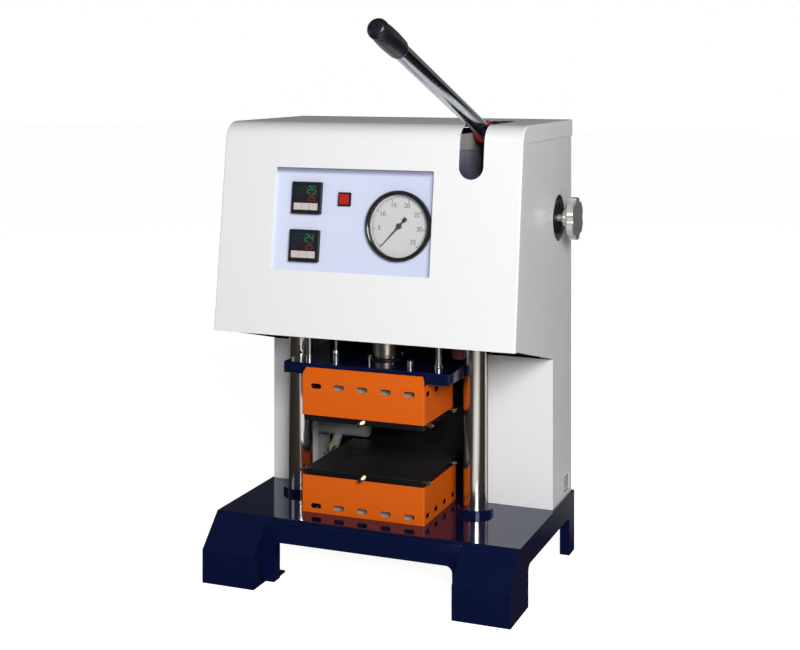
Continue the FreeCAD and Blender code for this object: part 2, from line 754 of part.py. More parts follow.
# Side panels: an upside-down L that reaches down to the base, with a bend at the rear corner and a
# joggled tab that the rear cover is screwed to
def build_side_panels():
    lean = tangent(face_lean)
    roof_under = roof_top - cover_sheet
    gap = cover_sheet / cosine(face_lean) + 0.1
    front_low = face_low + cover_sheet + 0.1
    lip_end = -125.7
    lip_low = 371.9
    front_of = lambda z: face_foot + (z - face_low) * lean + gap
    panel_front = cabinet_front + cover_sheet
    corner = 14
    bend = 2.5
    outline = Outline(
        (cabinet_rear - corner, base_top), (cabinet_rear - corner, roof_under),
        (front_of(roof_under), roof_under, roof_bend - cover_sheet), (front_of(front_low), front_low),
        (lip_end, front_low), (lip_end, lip_low), (panel_front, 326.6), (panel_front, base_top))
    return_x = 205
    joggle_x = 208
    tab_x = 186
    return_top = roof_top - 15.1
    for name, sign in (("side_panel_left", -1), ("side_panel_right", 1)):
        piece = Piece(name)
        outer = sign * panel_half
        inner = sign * (panel_half - cover_sheet)
        low, high = (outer, inner) if sign < 0 else (inner, outer)
        piece.pad("side", low, high, outline)
        rear_inner = cabinet_rear - cover_sheet
        tab_inner = rear_inner - cover_sheet
        piece.pad("top", base_top, return_top, Outline(
            (outer, cabinet_rear - corner), (outer, cabinet_rear, bend), (sign * return_x, cabinet_rear),
            (sign * return_x, rear_inner), (sign * tab_x, rear_inner), (sign * tab_x, tab_inner),
            (sign * joggle_x, tab_inner), (sign * joggle_x, rear_inner),
            (inner, rear_inner, bend - cover_sheet), (inner, cabinet_rear - corner)))
        piece.pocket("front", tab_inner - 1, rear_inner + 1,
                     *[Circle(sign * REAR_SCREW_X, z, REAR_SCREW_R + RUNNING_GAP) for z in REAR_SCREW_Z])
        if sign > 0:
            hole_r = 36
            piece.pocket("side", low - 1, high + 1, Circle(valve_y, valve_z, hole_r))
            vent_front = 122.7
            vent_rear = 153
            vent_low = 103.5
            bar = 1.8
            gap_height = 3.2
            slots = []
            for row in range(5):
                foot = vent_low + row * (bar + gap_height)
                slots.append(rectangle(vent_front, foot, vent_rear, foot + gap_height))
            piece.pocket("side", low - 1, high + 1, *slots)
        piece.keep()


# Cabinet fronts beside the platens, each with a flange folded into the opening
def build_cabinet_fronts():
    flange = 23.5
    top = 326.4
    for name, sign, edge in (("cabinet_front_left", -1, -168), ("cabinet_front_right", 1, 131)):
        piece = Piece(name)
        outer = sign * panel_half
        fold = edge + sign * cover_sheet
        rear = cabinet_front + cover_sheet
        piece.pad("top", base_top, top, Outline(
            (outer, cabinet_front), (edge, cabinet_front, 2), (edge, cabinet_front + flange),
            (fold, cabinet_front + flange), (fold, rear, 0.5), (outer, rear)))
        piece.keep()


# Flat rear cover with two fields of louvre slots and an opening for the inlet
def build_rear_cover():
    piece = Piece("rear_cover")
    half = 204
    low = base_top + 1
    high = 673.5
    piece.pad("front", cabinet_rear - cover_sheet, cabinet_rear, rectangle(-half, low, half, high))
    louvre_half = 30
    louvre_height = 4
    louvre_pitch = 12
    slots = []
    for centre in (-110, 110):
        for row in range(8):
            foot = 470 + row * louvre_pitch
            slots.append(rectangle(centre - louvre_half, foot, centre + louvre_half, foot + louvre_height))
    slots.append(rectangle(INLET_X - 14, INLET_Z - 10.5, INLET_X + 14, INLET_Z + 10.5))
    piece.pocket("front", cabinet_rear - cover_sheet - 1, cabinet_rear + 1, *slots)
    piece.pocket("front", cabinet_rear - cover_sheet - 1, cabinet_rear + 1,
                 *[Circle(sign * REAR_SCREW_X, z, REAR_SCREW_R + RUNNING_GAP)
                   for sign in (-1, 1) for z in REAR_SCREW_Z])
    piece.keep()


INLET_X = -150
INLET_Z = 140


# Mains inlet in the rear cover: a flanged socket with three flat pins
def build_inlet():
    piece = Piece("power_inlet")
    proud = cabinet_rear + 2.4
    piece.pad("front", cabinet_rear, proud, rectangle(INLET_X - 25, INLET_Z - 14, INLET_X + 25, INLET_Z + 14, 3))
    piece.pad("front", cabinet_rear - 24, cabinet_rear,
              rectangle(INLET_X - 13.7, INLET_Z - 10.2, INLET_X + 13.7, INLET_Z + 10.2))
    piece.pocket("front", cabinet_rear - 17, proud + 1,
                 rectangle(INLET_X - 12, INLET_Z - 8, INLET_X + 12, INLET_Z + 8, 2))
    for x, z in ((-7, -2), (0, 2), (7, -2)):
        piece.pad("front", cabinet_rear - 18, cabinet_rear - 2,
                  rectangle(INLET_X + x - 1, INLET_Z + z - 2, INLET_X + x + 1, INLET_Z + z + 2))
    piece.keep()


def on_face(thing, x, up_face, normal=0):
    lean_sin = sine(face_lean)
    lean_cos = cosine(face_lean)
    place(thing, x, face_foot + up_face * lean_sin - normal * lean_cos,
          face_low + up_face * lean_cos + normal * lean_sin,
          Rotation(Vector(1, 0, 0), 90 - face_lean.number))


# Instrument panel behind the window of the front face
def build_control_panel():
    piece = Piece("control_panel")
    cut = 22.6
    holes = [rectangle(control_x - cut, centre - cut, control_x + cut, centre + cut)
             for centre in (control_s, control_low)]
    piece.pad("top", -cover_sheet, 0, rectangle(-151.5, 95.5, 108, 252.5),
              rectangle(switch_x - 8.3, control_s - 8.3, switch_x + 8.3, control_s + 8.3),
              Circle(gauge_x, gauge_s, 47.1), *holes)
    on_face(piece.body, 0, 0, -panel_drop)
    piece.keep()


KEY_PITCH = 13.2
KEY_FOOT = -18
KEY_HEAD = -7.8
KEY_TRAVEL = 0.8


# Temperature controllers: a square bezel, its case behind the panel, a dark window and three keys
def build_controllers():
    cases = []
    windows = []
    half = 24
    body_half = 22.5
    depth = 50
    proud = 7.5
    for level, centre in (("upper", control_s), ("lower", control_low)):
        case = Piece(f"controller_case_{level}")
        case.pad("top", -depth, 0, rectangle(-body_half, -body_half, body_half, body_half))
        case.pad("top", 0, proud, rectangle(-half, -half, half, half, 1.5))
        case.pocket("top", proud - 2, proud + 1, rectangle(-20.5, -5.8, 20.5, 21.5))
        case.pocket("top", proud - 5.5, proud + 1,
                    rectangle(-20.4, KEY_FOOT - 0.4, 20.4, KEY_HEAD + 0.4))
        case.chamfer(0.8, lambda edge, middle: abs(middle.z - proud) < 0.01
                     and max(abs(middle.x), abs(middle.y)) > half - 0.9)
        on_face(case.body, control_x, centre, -panel_drop)
        cases.append(case.body)
        window = Piece(f"controller_window_{level}")
        window.pad("top", proud - 2, proud - 0.5, rectangle(-20.4, -5.7, 20.4, 21.4))
        on_face(window.body, control_x, centre, -panel_drop)
        windows.append(window.body)
        for index in range(3):
            key = Piece(f"key_{level}_{index + 1}")
            x = (index - 1) * KEY_PITCH
            key_half = 6.3
            key.pad("top", proud - 4.6, proud - 0.2,
                    rectangle(x - key_half, KEY_FOOT, x + key_half, KEY_HEAD, 0.8))
            on_face(key.body, control_x, centre, -panel_drop)
            key.keep()
    compound("controller_cases", cases)
    compound("controller_windows", windows)


# Lit push switch: a square bezel with its housing, and the lens that is pressed
def build_switch():
    bezel = Piece("switch_bezel")
    bezel_half = 10.3
    bore = 8.15
    housing = 8.25
    bezel.pad("top", 0, 3.5, rectangle(-bezel_half, -bezel_half, bezel_half, bezel_half, 1.5))
    bezel.pad("top", -28, 0, rectangle(-housing, -housing, housing, housing))
    bezel.pocket("top", -9, 5, rectangle(-7.7, -7.7, 7.7, 7.7))
    bezel.chamfer(0.6, lambda edge, middle: abs(middle.z - 3.5) < 0.01
                  and max(abs(middle.x), abs(middle.y)) > bore + 1)
    on_face(bezel.body, switch_x, control_s, -panel_drop)
    bezel.keep()
    button = Piece("power_button")
    lens = 7.6
    button.pad("top", -5, 5, rectangle(-lens, -lens, lens, lens, 1))
    button.chamfer(0.8, lambda edge, middle: abs(middle.z - 5) < 0.01)
    on_face(button.body, switch_x, control_s, -panel_drop)
    button.keep()


# Pressure gauge: case with its rear stem, dial, pointer, glass and a screwed bezel
def build_gauge():
    case = Piece("gauge_case")
    case.turn(Outline(
        (0, -60), (7, -60), (7, -44), (44, -44), (47, -41), (47, 0), (51, 0), (51, 3),
        (46, 3), (46, -2.5), (1.6, -2.5), (1.6, -6), (0, -6)))
    dial = Piece("gauge_dial")
    dial.turn(Outline((1.6, -2.5), (45.9, -2.5), (45.9, -1.5), (1.6, -1.5)))
    glass = Piece("gauge_glass")
    glass.turn(Outline((0, 4.8), (47.5, 4.8), (47.5, 6.4), (0, 6.4)))
    bezel = Piece("gauge_bezel")
    bezel.turn(Outline(
        (51.05, 0), (51.7, 0), (51.7, 6.2), (50, 8), (47.8, 8), (46.2, 7.3), (46.2, 6.4),
        (47.6, 6.4), (47.6, 3.05), (51.05, 3.05)))
    for piece in (case, dial, glass, bezel):
        on_face(piece.body, gauge_x, gauge_s, -panel_drop)
        piece.keep()
    pointer = Piece("gauge_pointer")
    reading = math.radians(228.7)
    low = 0
    high = 0.8
    along = Vector(math.cos(reading), math.sin(reading), 0)
    across = Vector(-along.y, along.x, 0)
    blade = [along * reach + across * width for reach, width in (
        (-16, 3), (-16, -3), (-9, -3), (-9, -1.2), (0, -1.6), (42, -0.35), (42, 0.35), (0, 1.6),
        (-9, 1.2), (-9, 3))]
    pointer.pad("top", low, high, Outline(*[(point.x, point.y) for point in blade]))
    pointer.pad("top", low - 0.6, high + 1, Circle(0, 0, 4.2))
    pointer.pad("top", -5.5, low, Circle(0, 0, 1.55))
    on_face(pointer.body, gauge_x, gauge_s, -panel_drop)
    pointer.keep()


# Point of the heel's involute at an unwinding angle, in the yoke's own frame (y, z), where z runs
# out along the lever and y is square to it. The lever is at rest when the angle is rest_angle.
LEVER_DOWN = 34.5
LEVER_UP = 65
HEEL_FIRST = 1.5
HEEL_LAST = HEEL_FIRST + math.radians(LEVER_DOWN + LEVER_UP)
HEEL_REST = HEEL_LAST - math.radians(LEVER_DOWN)
HEEL_GAP = 0.3


def heel_point(angle):
    forward = heel_base.number
    down = -heel_base.number * angle
    turn = angle - HEEL_REST
    u = forward * math.cos(turn) - down * math.sin(turn)
    w = forward * math.sin(turn) + down * math.cos(turn)
    rise = math.radians(lever_rise.number)
    return Vector(-u * math.sin(rise) + w * math.cos(rise), u * math.cos(rise) + w * math.sin(rise), 0)


TUBE_R = 11.4


# Lever yoke: hub, socket for the tube, and an involute heel. A flat pushed by an involute moves
# in step with the lever's angle, so the plunger keeps one ratio over the whole swing.
def build_yoke():
    piece = Piece("lever_yoke")
    hub_r = 14
    hub_half = 13
    heel_half = 7
    socket_r = 17
    socket_low = 24
    socket_high = 61
    piece.turn(Outline(
        (0, socket_low), (socket_r - 3, socket_low), (socket_r, socket_low + 3),
        (socket_r, socket_high - 1.5), (socket_r - 1.5, socket_high), (0, socket_high)))
    piece.pad("side", -hub_half, hub_half, Circle(0, 0, hub_r))
    piece.pad("side", -hub_half + 1, hub_half - 1, rectangle(-11, 0, 11, socket_low + 2))
    # The heel's face is cut into short arcs through three points of the involute each
    heel = piece.sketch("side", -heel_half)
    steps = 5
    span = (HEEL_LAST - HEEL_FIRST + 0.2) / steps
    first = HEEL_FIRST - 0.1
    edges = []
    for step in range(steps):
        start = first + step * span
        edges.append(Part.Arc(heel_point(start), heel_point(start + span / 2), heel_point(start + span)))
    hub_side = Vector(2, 12, 0)
    hub_back = Vector(-2, -12.5, 0)
    tip = heel_point(first + steps * span)
    toe = heel_point(first)
    edges += [Part.LineSegment(tip, hub_side), Part.LineSegment(hub_side, hub_back),
              Part.LineSegment(hub_back, toe)]
    heel.addGeometry(edges, False)
    piece.feature("Pad", heel, 0, 2 * heel_half)
    piece.groove(rectangle(0, 30, TUBE_R + 0.05, socket_high + 1))
    piece.pocket("side", -hub_half - 1, hub_half + 1, Circle(0, 0, 5 + RUNNING_GAP))
    place(piece.body, lever_x, pivot_y, pivot_z, Rotation(Vector(1, 0, 0), 90 - lever_rise.number))
    piece.keep()


# Chromed lever tube and its moulded grip, both turned about the lever's own line
def build_lever():
    tube = Piece("lever_tube")
    tube_end = 484
    tube.turn(Outline((9.2, 30), (TUBE_R, 30), (TUBE_R, tube_end), (9.2, tube_end)))
    grip = Piece("lever_grip")
    grip_low = 416
    grip_end = 498
    grip.turn(Outline(
        (TUBE_R, grip_low), (12.4, grip_low), (13.7, grip_low + 5, 4), (14.6, grip_low + 32, 60),
        (14.2, grip_low + 54, 60), (13.3, grip_low + 67, 8), (12.7, grip_low + 69), (13.8, grip_low + 70.5, 1),
        (13.5, grip_end - 6, 3), (10, grip_end - 1.2, 5), (3.6, grip_end), (2.6, grip_end - 1.4),
        (0, grip_end - 1.4), (0, tube_end + 0.5), (TUBE_R, tube_end + 0.5)))
    for piece in (tube, grip):
        place(piece.body, lever_x, pivot_y, pivot_z, Rotation(Vector(1, 0, 0), 90 - lever_rise.number))
        piece.keep()


PUMP_PORT = 19


# Hand pump on the crosshead: a barrel for the plunger and two cheeks for the lever's pin
def build_pump():
    piece = Piece("pump_body")
    barrel_r = 14
    collar_r = 16.5
    spring_seat = 592
    cheek_half = 18
    piece.pad("top", crosshead_top, crosshead_top + 12, rectangle(-12, -20, 25, 20, 4))
    piece.pad("top", crosshead_top, spring_seat - 14, Circle(0, 0, barrel_r))
    piece.pad("top", spring_seat - 14, spring_seat, Circle(0, 0, collar_r))
    piece.pad("side", -PUMP_PORT, 0, Circle(0, 530, 6))
    piece.pad("front", 0, PUMP_PORT, Circle(0, 492, 7))
    piece.pad("side", -cheek_half, cheek_half, rectangle(1.5, 562, 25, pivot_z))
    piece.pad("side", -cheek_half, cheek_half, Circle(heel_base, pivot_z, 13))
    piece.pocket("side", -13.3, 13.3, rectangle(-20, spring_seat, 40, pivot_z + 20))
    piece.pocket("top", 500, spring_seat + 1, Circle(0, 0, 8 + RUNNING_GAP))
    piece.pocket("side", -cheek_half - 1, cheek_half + 1, Circle(heel_base, pivot_z, 5))
    place(piece.body, lever_x, pivot_y - heel_base, 0)
    piece.keep()
    head_top = pivot_z - heel_base * HEEL_REST - HEEL_GAP
    head_under = head_top - 5
    plunger = Piece("pump_plunger")
    plunger.turn(Outline(
        (0, 520), (7, 520), (8, 521), (8, head_under), (10.4, head_under), (10.4, head_top - 0.8),
        (9.6, head_top), (0, head_top)))
    place(plunger.body, lever_x, pivot_y - heel_base, 0)
    plunger.keep()
    spring = Piece("pump_spring")
    spring.turn(Outline((8.4, spring_seat), (10.2, spring_seat), (10.2, head_under), (8.4, head_under)))
    place(spring.body, lever_x, pivot_y - heel_base, 0)
    spring.keep()
    pin_half = 19
    pin = Piece("pivot_pin")
    pin.turn(Outline((0, -pin_half), (4.2, -pin_half), (5, 0.8 - pin_half), (5, pin_half - 0.8),
                     (4.2, pin_half), (0, pin_half)))
    place(pin.body, lever_x, pivot_y, pivot_z, Rotation(Vector(0, 1, 0), 90))
    pin.keep()


# Trough behind the lever's slot, which keeps the inside of the head out of sight and dust
def build_shroud():
    piece = Piece("slot_shroud")
    wall = 1.2
    inner = 20.1
    outer = inner + wall
    bottom = 604
    top = 676
    piece.pad("front", -112, -28, Outline(
        (lever_x - outer, top), (lever_x - outer, bottom - wall, outer - 0.02),
        (lever_x + outer, bottom - wall, outer - 0.02), (lever_x + outer, top), (lever_x + inner, top),
        (lever_x + inner, bottom, inner - 0.02), (lever_x - inner, bottom, inner - 0.02),
        (lever_x - inner, top)))
    trim = face_foot + (cover_sheet + 0.1) / cosine(face_lean)
    lean = tangent(face_lean)
    piece.pocket("side", lever_x - outer - 1, lever_x + outer + 1, Outline(
        (-125, 590), (trim + (590 - face_low) * lean, 590), (trim + (661 - face_low) * lean, 661),
        (-86.5, top + 1), (-125, top + 1)))
    piece.keep()


# Oil tank on a lug bolted to the crosshead, with a filler cap
def build_tank():
    piece = Piece("oil_tank")
    low = 474
    high = 596
    piece.pad("top", low, high, rectangle(35, 96, 165, 158, 10))
    piece.pad("top", crosshead_top, low + 3, rectangle(60, 58, 140, 120, 3))
    piece.pad("top", high, high + 9, Circle(70, 127, 13))
    piece.keep()


# Valve block hung under the crosshead in front of the right column; its lower end shows
def build_valve_block():
    piece = Piece("valve_block")
    piece.pad("top", 358, crosshead_low, rectangle(102, -52, 184, -22, 8))
    piece.pad("top", 337, 358, rectangle(109, -48, 128, -26, 8))
    piece.fillet(4, lambda edge, middle: abs(middle.z - 337) < 0.01)
    piece.keep()


# Steel pipe along straight runs with a bend at each point between
def pipe(name, points, radius, bend):
    spots = [Vector(*point) for point in points]
    edges = []
    start = spots[0]
    for index in range(1, len(spots) - 1):
        entry, middle, leave = round_points(spots[index - 1], spots[index], spots[index + 1], bend)
        edges.append(Part.LineSegment(start, entry).toShape())
        edges.append(Part.Arc(entry, middle, leave).toShape())
        start = leave
    edges.append(Part.LineSegment(start, spots[-1]).toShape())
    spine = Part.Wire(edges)
    heading = (spots[1] - spots[0]).normalize()
    section = Part.Wire(Part.Circle(spots[0], heading, radius).toShape())
    solid = spine.makePipeShell([section], True, False)
    expected = math.pi * radius * radius * spine.Length
    if abs(solid.Volume - expected) > 0.02 * expected:
        raise ValueError(f"{name}: volume {solid.Volume:.0f} against {expected:.0f}")
    made = doc.addObject("Part::Feature", name)
    made.Shape = solid
    return made


def build_pipes():
    port_x = axis_x.number + 56
    pump_y = (pivot_y - heel_base).number
    stem = leaning_frame(-64.5).multVec(Vector(gauge_x.number, gauge_s.number, 0))
    behind = leaning_frame(-96).multVec(Vector(gauge_x.number, gauge_s.number, 0))
    pressure = pipe("pressure_pipe", [
        (lever_x.number - PUMP_PORT, pump_y, 530), (104, pump_y, 530), (74, axis_y.number, 576),
        (port_x, axis_y.number, 576)], 3, 12)
    sensing = pipe("gauge_pipe", [
        tuple(stem), tuple(behind), (gauge_x.number, behind.y + 12, 640),
        (axis_x.number, axis_y.number, 640), (axis_x.number, axis_y.number, 600)], 3, 12)
    suction = pipe("suction_pipe", [
        (165, 128, 492), (176, 128, 492), (176, 40, 492), (lever_x.number, 28, 492),
        (lever_x.number, pump_y + PUMP_PORT, 492)], 4, 5)
    drain = cylinder("return_pipe", 165, 105, 541, 4, 19, RIGHT)
    compound("hydraulic_pipes", [pressure, sensing, suction, drain])


# Release valve on its bracket, and the six-lobed knob with its spindle outside the right panel
def build_release():
    piece = Piece("release_valve")
    spindle_r = 6
    piece.pad("top", crosshead_top, crosshead_top + 6, rectangle(152, 44, 190, 78, 3))
    piece.pad("side", 184, 190, rectangle(44, crosshead_top, 118, 566, 4))
    piece.pad("side", 190, 222, rectangle(valve_y - 20, valve_z - 24, valve_y + 20, valve_z + 24, 3))
    piece.pad("side", 222, 228, Circle(valve_y, valve_z, 13))
    piece.pocket("side", 200, 229, Circle(valve_y, valve_z, spindle_r + RUNNING_GAP))
    piece.keep()
    knob = Piece("release_knob")
    knob_in = 256
    knob_out = 267.5
    knob_r = 33
    knob.turn(Outline((0, 201), (spindle_r - 1, 201), (spindle_r, 202), (spindle_r, 244),
                      (13, 246), (13, knob_in + 2), (0, knob_in + 2)))
    knob.pad("top", knob_in, knob_out, Circle(0, 0, knob_r))
    lobes = 6
    scallop_r = 11
    scallop_at = 40
    scallops = []
    for index in range(lobes):
        angle = math.radians(360 / lobes * (index + 0.5))
        scallops.append(Circle(scallop_at * math.cos(angle), scallop_at * math.sin(angle), scallop_r))
    knob.pocket("top", knob_in - 1, knob_out + 1, *scallops)
    knob.fillet(1.8, lambda edge, middle: abs(middle.z - knob_out) < 0.01 or
                (abs(middle.z - knob_in) < 0.01 and math.hypot(middle.x, middle.y) > 20))
    place(knob.body, 0, valve_y, valve_z, Rotation(Vector(0, 1, 0), 90))
    knob.keep()


# Return rods stand on the moving plate and hang from springs above the crosshead
def build_return():
    rods = []
    springs = []
    spring_top = 600
    for side, sign in (("left", -1), ("right", 1)):
        x = axis_x + sign * ROD_OFFSET
        rod = Piece(f"return_rod_{side}")
        rod.turn(Outline(
            (0, plate_top), (6.5, plate_top), (6.5, plate_top + 7), (4.5, plate_top + 7),
            (4.5, spring_top), (12, spring_top), (12, spring_top + 3), (8, spring_top + 3),
            (8, spring_top + 11), (4.5, spring_top + 11), (4.5, spring_top + 14), (0, spring_top + 14)))
        place(rod.body, x, ROD_Y, 0)
        rods.append(rod.body)
        spring = Piece(f"return_spring_{side}")
        spring.turn(Outline((7.5, crosshead_top), (10.5, crosshead_top), (10.5, spring_top),
                            (7.5, spring_top)))
        place(spring.body, x, ROD_Y, 0)
        springs.append(spring.body)
    compound("return_rods", rods)
    compound("return_springs", springs)
    probe = Piece("thermocouple")
    sheath_r = 2
    probe.turn(Outline(
        (0, 266), (sheath_r, 266), (sheath_r, plate_top), (5, plate_top), (5, plate_top + 12),
        (4, plate_top + 16), (sheath_r, plate_top + 16), (sheath_r, 405), (0, 405)))
    place(probe.body, axis_x - PROBE_OFFSET, ROD_Y, 0)
    probe.keep()


# Flexible conduit with its gland, from the lower platen's side up into the round duct that
# carries the leads to the left panel
def build_conduit():
    platen_left = (axis_x - platen_wide).number
    route = [(platen_left - 14, 88, 142), (-148, 88, 142), (-148, 104, 150), (-148, 122, 168)]
    tube = pipe("conduit_tube", route, 7.5, 9)
    gland = cylinder("conduit_gland", platen_left, 88, 142, 9.5, 14, LEFT)
    duct = Piece("cable_duct")
    duct_r = 11.5
    duct_left = -panel_half + cover_sheet
    duct.turn(Outline((0, duct_left), (duct_r, duct_left), (duct_r, -92, 9), (0, -92)))
    place(duct.body, 0, 122, 171, Rotation(Vector(0, 1, 0), 90))
    keep("lower_conduit", joined("Part::MultiFuse", "conduit_group", [tube, gland, duct.body]))


# A pan-head screw with its shank in the hole, its head's underside at the given spot
def pan_screw(name, spot, direction, head_r=3.5, head_height=2.2, shank_r=1.6, shank=6):
    head = cylinder(f"{name}_head", *spot, head_r, head_height, direction)
    start = Vector(*[number_of(value) for value in spot]) - direction * shank
    stem = cylinder(f"{name}_shank", start.x, start.y, start.z, shank_r, shank + 0.5, direction)
    return joined("Part::MultiFuse", name, [head, stem])


def build_screws():
    fixed = []
    for side, sign in (("left", -1), ("right", 1)):
        for index, z in enumerate(REAR_SCREW_Z):
            fixed.append(pan_screw(f"rear_screw_{side}_{index}", (sign * REAR_SCREW_X, cabinet_rear, z),
                                   REAR, shank_r=REAR_SCREW_R, shank=6))
    platen_front = axis_y - platen_half
    platen_right = axis_x + platen_wide
    platen_left = axis_x - platen_wide
    stand_off = 9.5
    side_stand_off = 3.9
    fixed.append(pan_screw("lower_hook_front", (-15, platen_front - stand_off, 157.8), FRONT,
                           shank=stand_off))
    for index, y in enumerate((-74, 38)):
        fixed.append(pan_screw(f"lower_hook_right_{index}", (platen_right + side_stand_off, y, 157.8), RIGHT,
                               shank=side_stand_off))
        fixed.append(pan_screw(f"lower_hook_left_{index}", (platen_left - side_stand_off, y, 157.8), LEFT,
                               shank=side_stand_off))
    compound("frame_screws", fixed)
    moving = []
    moving.append(pan_screw("upper_hook_front", (-17, platen_front - stand_off, 240.2), FRONT,
                            shank=stand_off))
    for index, y in enumerate((-65, 38)):
        moving.append(pan_screw(f"upper_hook_right_{index}", (platen_right + side_stand_off, y, 240.2), RIGHT,
                                shank=side_stand_off))
        moving.append(pan_screw(f"upper_hook_left_{index}", (platen_left - side_stand_off, y, 240.2), LEFT,
                                shank=side_stand_off))
    flange_pcd_r = 27
    for index in range(4):
        angle = math.radians(45 + 90 * index)
        spot = (axis_x + flange_pcd_r * math.cos(angle), axis_y + flange_pcd_r * math.sin(angle),
                plate_top + 3.5)
        moving.append(cylinder(f"flange_screw_{index}", *spot, 3, 2))
    moving.append(cylinder("plate_screw", axis_x + PROBE_OFFSET, ROD_Y, plate_top, 5, 9.5))
    moving.append(cylinder("plate_pin", axis_x - 5.5, ROD_Y, plate_top, 1.8, 9.5))
    compound("upper_screws", moving)


build_base()
build_bed()
build_columns()
build_crosshead()
build_cylinder()
build_ram()
build_moving_plate()
build_stack("lower", base_top, base_top + 22, base_top + 22, lower_face)
build_stack("upper", plate_low - 24, plate_low, upper_face, plate_low - 24)
build_guards()
build_hood()
build_side_panels()
build_cabinet_fronts()
build_rear_cover()
build_inlet()
build_control_panel()
build_controllers()
build_switch()
build_gauge()
build_yoke()
build_lever()
build_pump()
build_shroud()
build_tank()
build_valve_block()
build_pipes()
build_release()
build_return()
build_conduit()
build_screws()
doc.recompute()

failed = [thing.Name for thing in doc.Objects if "Invalid" in thing.State or "Error" in thing.State]
if failed:
    raise SystemExit(f"failed features: {failed}")
for name, thing in nodes.items():
    if thing.Shape.isNull() or not thing.Shape.isValid():
        raise SystemExit(f"{name}: no valid shape")

os.makedirs("parts", exist_ok=True)
for name, thing in nodes.items():
    thing.Shape.exportStep(f"parts/{name}.step")
    box = thing.Shape.BoundBox
    print(f"{name}: {len(thing.Shape.Solids)} solids, {thing.Shape.Volume / 1000:.1f} cm3, "
          f"x {box.XMin:.1f} {box.XMax:.1f} y {box.YMin:.1f} {box.YMax:.1f} z {box.ZMin:.1f} {box.ZMax:.1f}")
print(len(nodes), "nodes")
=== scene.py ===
import bpy
import bmesh
import json
import math
from mathutils import Matrix, Vector


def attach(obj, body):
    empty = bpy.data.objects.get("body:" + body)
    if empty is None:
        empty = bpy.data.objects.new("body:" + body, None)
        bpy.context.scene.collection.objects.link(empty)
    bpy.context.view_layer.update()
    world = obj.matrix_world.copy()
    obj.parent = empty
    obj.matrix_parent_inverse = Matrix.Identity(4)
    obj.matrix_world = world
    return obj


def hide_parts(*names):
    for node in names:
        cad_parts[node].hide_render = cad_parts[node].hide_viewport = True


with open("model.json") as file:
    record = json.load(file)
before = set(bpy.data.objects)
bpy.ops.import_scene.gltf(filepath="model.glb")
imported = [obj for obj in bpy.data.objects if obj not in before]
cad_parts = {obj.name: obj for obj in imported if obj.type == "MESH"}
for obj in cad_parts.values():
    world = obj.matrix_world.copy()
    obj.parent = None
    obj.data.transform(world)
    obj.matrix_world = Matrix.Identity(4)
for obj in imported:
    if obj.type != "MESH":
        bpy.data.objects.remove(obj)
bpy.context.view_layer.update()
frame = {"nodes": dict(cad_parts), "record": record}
cad = frame["nodes"]


# The studio: the photograph's camera, a white floor and backdrop, one large soft lamp to the right
# of the camera and a weak one to its left. None of it belongs to the press.
photo_width, photo_height = 800, 650
focal_pixels = 1391.1
axis_x, axis_y = 416.6, 67.1
camera_data = bpy.data.cameras.new("photo_camera")
camera_data.sensor_width = 36
camera_data.lens = focal_pixels * 36 / photo_width
camera_data.shift_x = (photo_width / 2 - axis_x) / photo_width
camera_data.shift_y = (axis_y - photo_height / 2) / photo_width
camera = bpy.data.objects.new("photo_camera", camera_data)
camera.location = (0.8123, -1.9997, 0.7732)
camera.rotation_euler = (math.radians(90), 0, math.radians(21.2))
bpy.context.scene.collection.objects.link(camera)
bpy.context.scene.camera = camera
bpy.context.scene.view_settings.view_transform = "Standard"


def soft_lamp(name, place, target, width, height, power):
    lamp_data = bpy.data.lights.new(name, "AREA")
    lamp_data.shape = "RECTANGLE"
    lamp_data.size = width
    lamp_data.size_y = height
    lamp_data.energy = power
    lamp = bpy.data.objects.new(name, lamp_data)
    lamp.location = place
    aim = Vector(target) - Vector(place)
    lamp.rotation_euler = aim.to_track_quat("-Z", "Y").to_euler()
    bpy.context.scene.collection.objects.link(lamp)


soft_lamp("key_lamp", (1.70, -2.62, 1.62), (0, 0, 0.42), 1.3, 1.1, 104)
soft_lamp("fill_lamp", (-2.8, -1.7, 0.9), (0, 0, 0.40), 1.5, 1.2, 5)


def wire(tree, *pairs):
    for start, end in pairs:
        tree.links.new(start, end)


# A value for a node's input: another node's output, a colour of three numbers, or one number
def feed(tree, slot, value):
    if isinstance(value, bpy.types.NodeSocket):
        tree.links.new(value, slot)
    elif isinstance(value, tuple):
        slot.default_value = (*value, 1)
    else:
        slot.default_value = value


def reckon(tree, operation, first, second):
    step = tree.nodes.new("ShaderNodeMath")
    step.operation = operation
    for slot, value in zip(step.inputs, (first, second)):
        feed(tree, slot, value)
    return step.outputs[0]


def rescale(tree, value, low, high, to_low=0.0, to_high=1.0):
    step = tree.nodes.new("ShaderNodeMapRange")
    for label, entered in (("Value", value), ("From Min", low), ("From Max", high), ("To Min", to_low),
                           ("To Max", to_high)):
        feed(tree, step.inputs[label], entered)
    return step.outputs[0]


def mix(tree, factor, first, second, kind="RGBA"):
    step = tree.nodes.new("ShaderNodeMix")
    step.data_type = kind
    first_slot, result = {"RGBA": (6, 2), "FLOAT": (2, 0)}[kind]
    for slot, value in ((0, factor), (first_slot, first), (first_slot + 1, second)):
        feed(tree, step.inputs[slot], value)
    return step.outputs[result]


def coordinate(tree, kind="Object"):
    return tree.nodes.new("ShaderNodeTexCoord").outputs[kind]


def axes(tree, kind="Object"):
    split = tree.nodes.new("ShaderNodeSeparateXYZ")
    tree.links.new(coordinate(tree, kind), split.inputs[0])
    return split.outputs


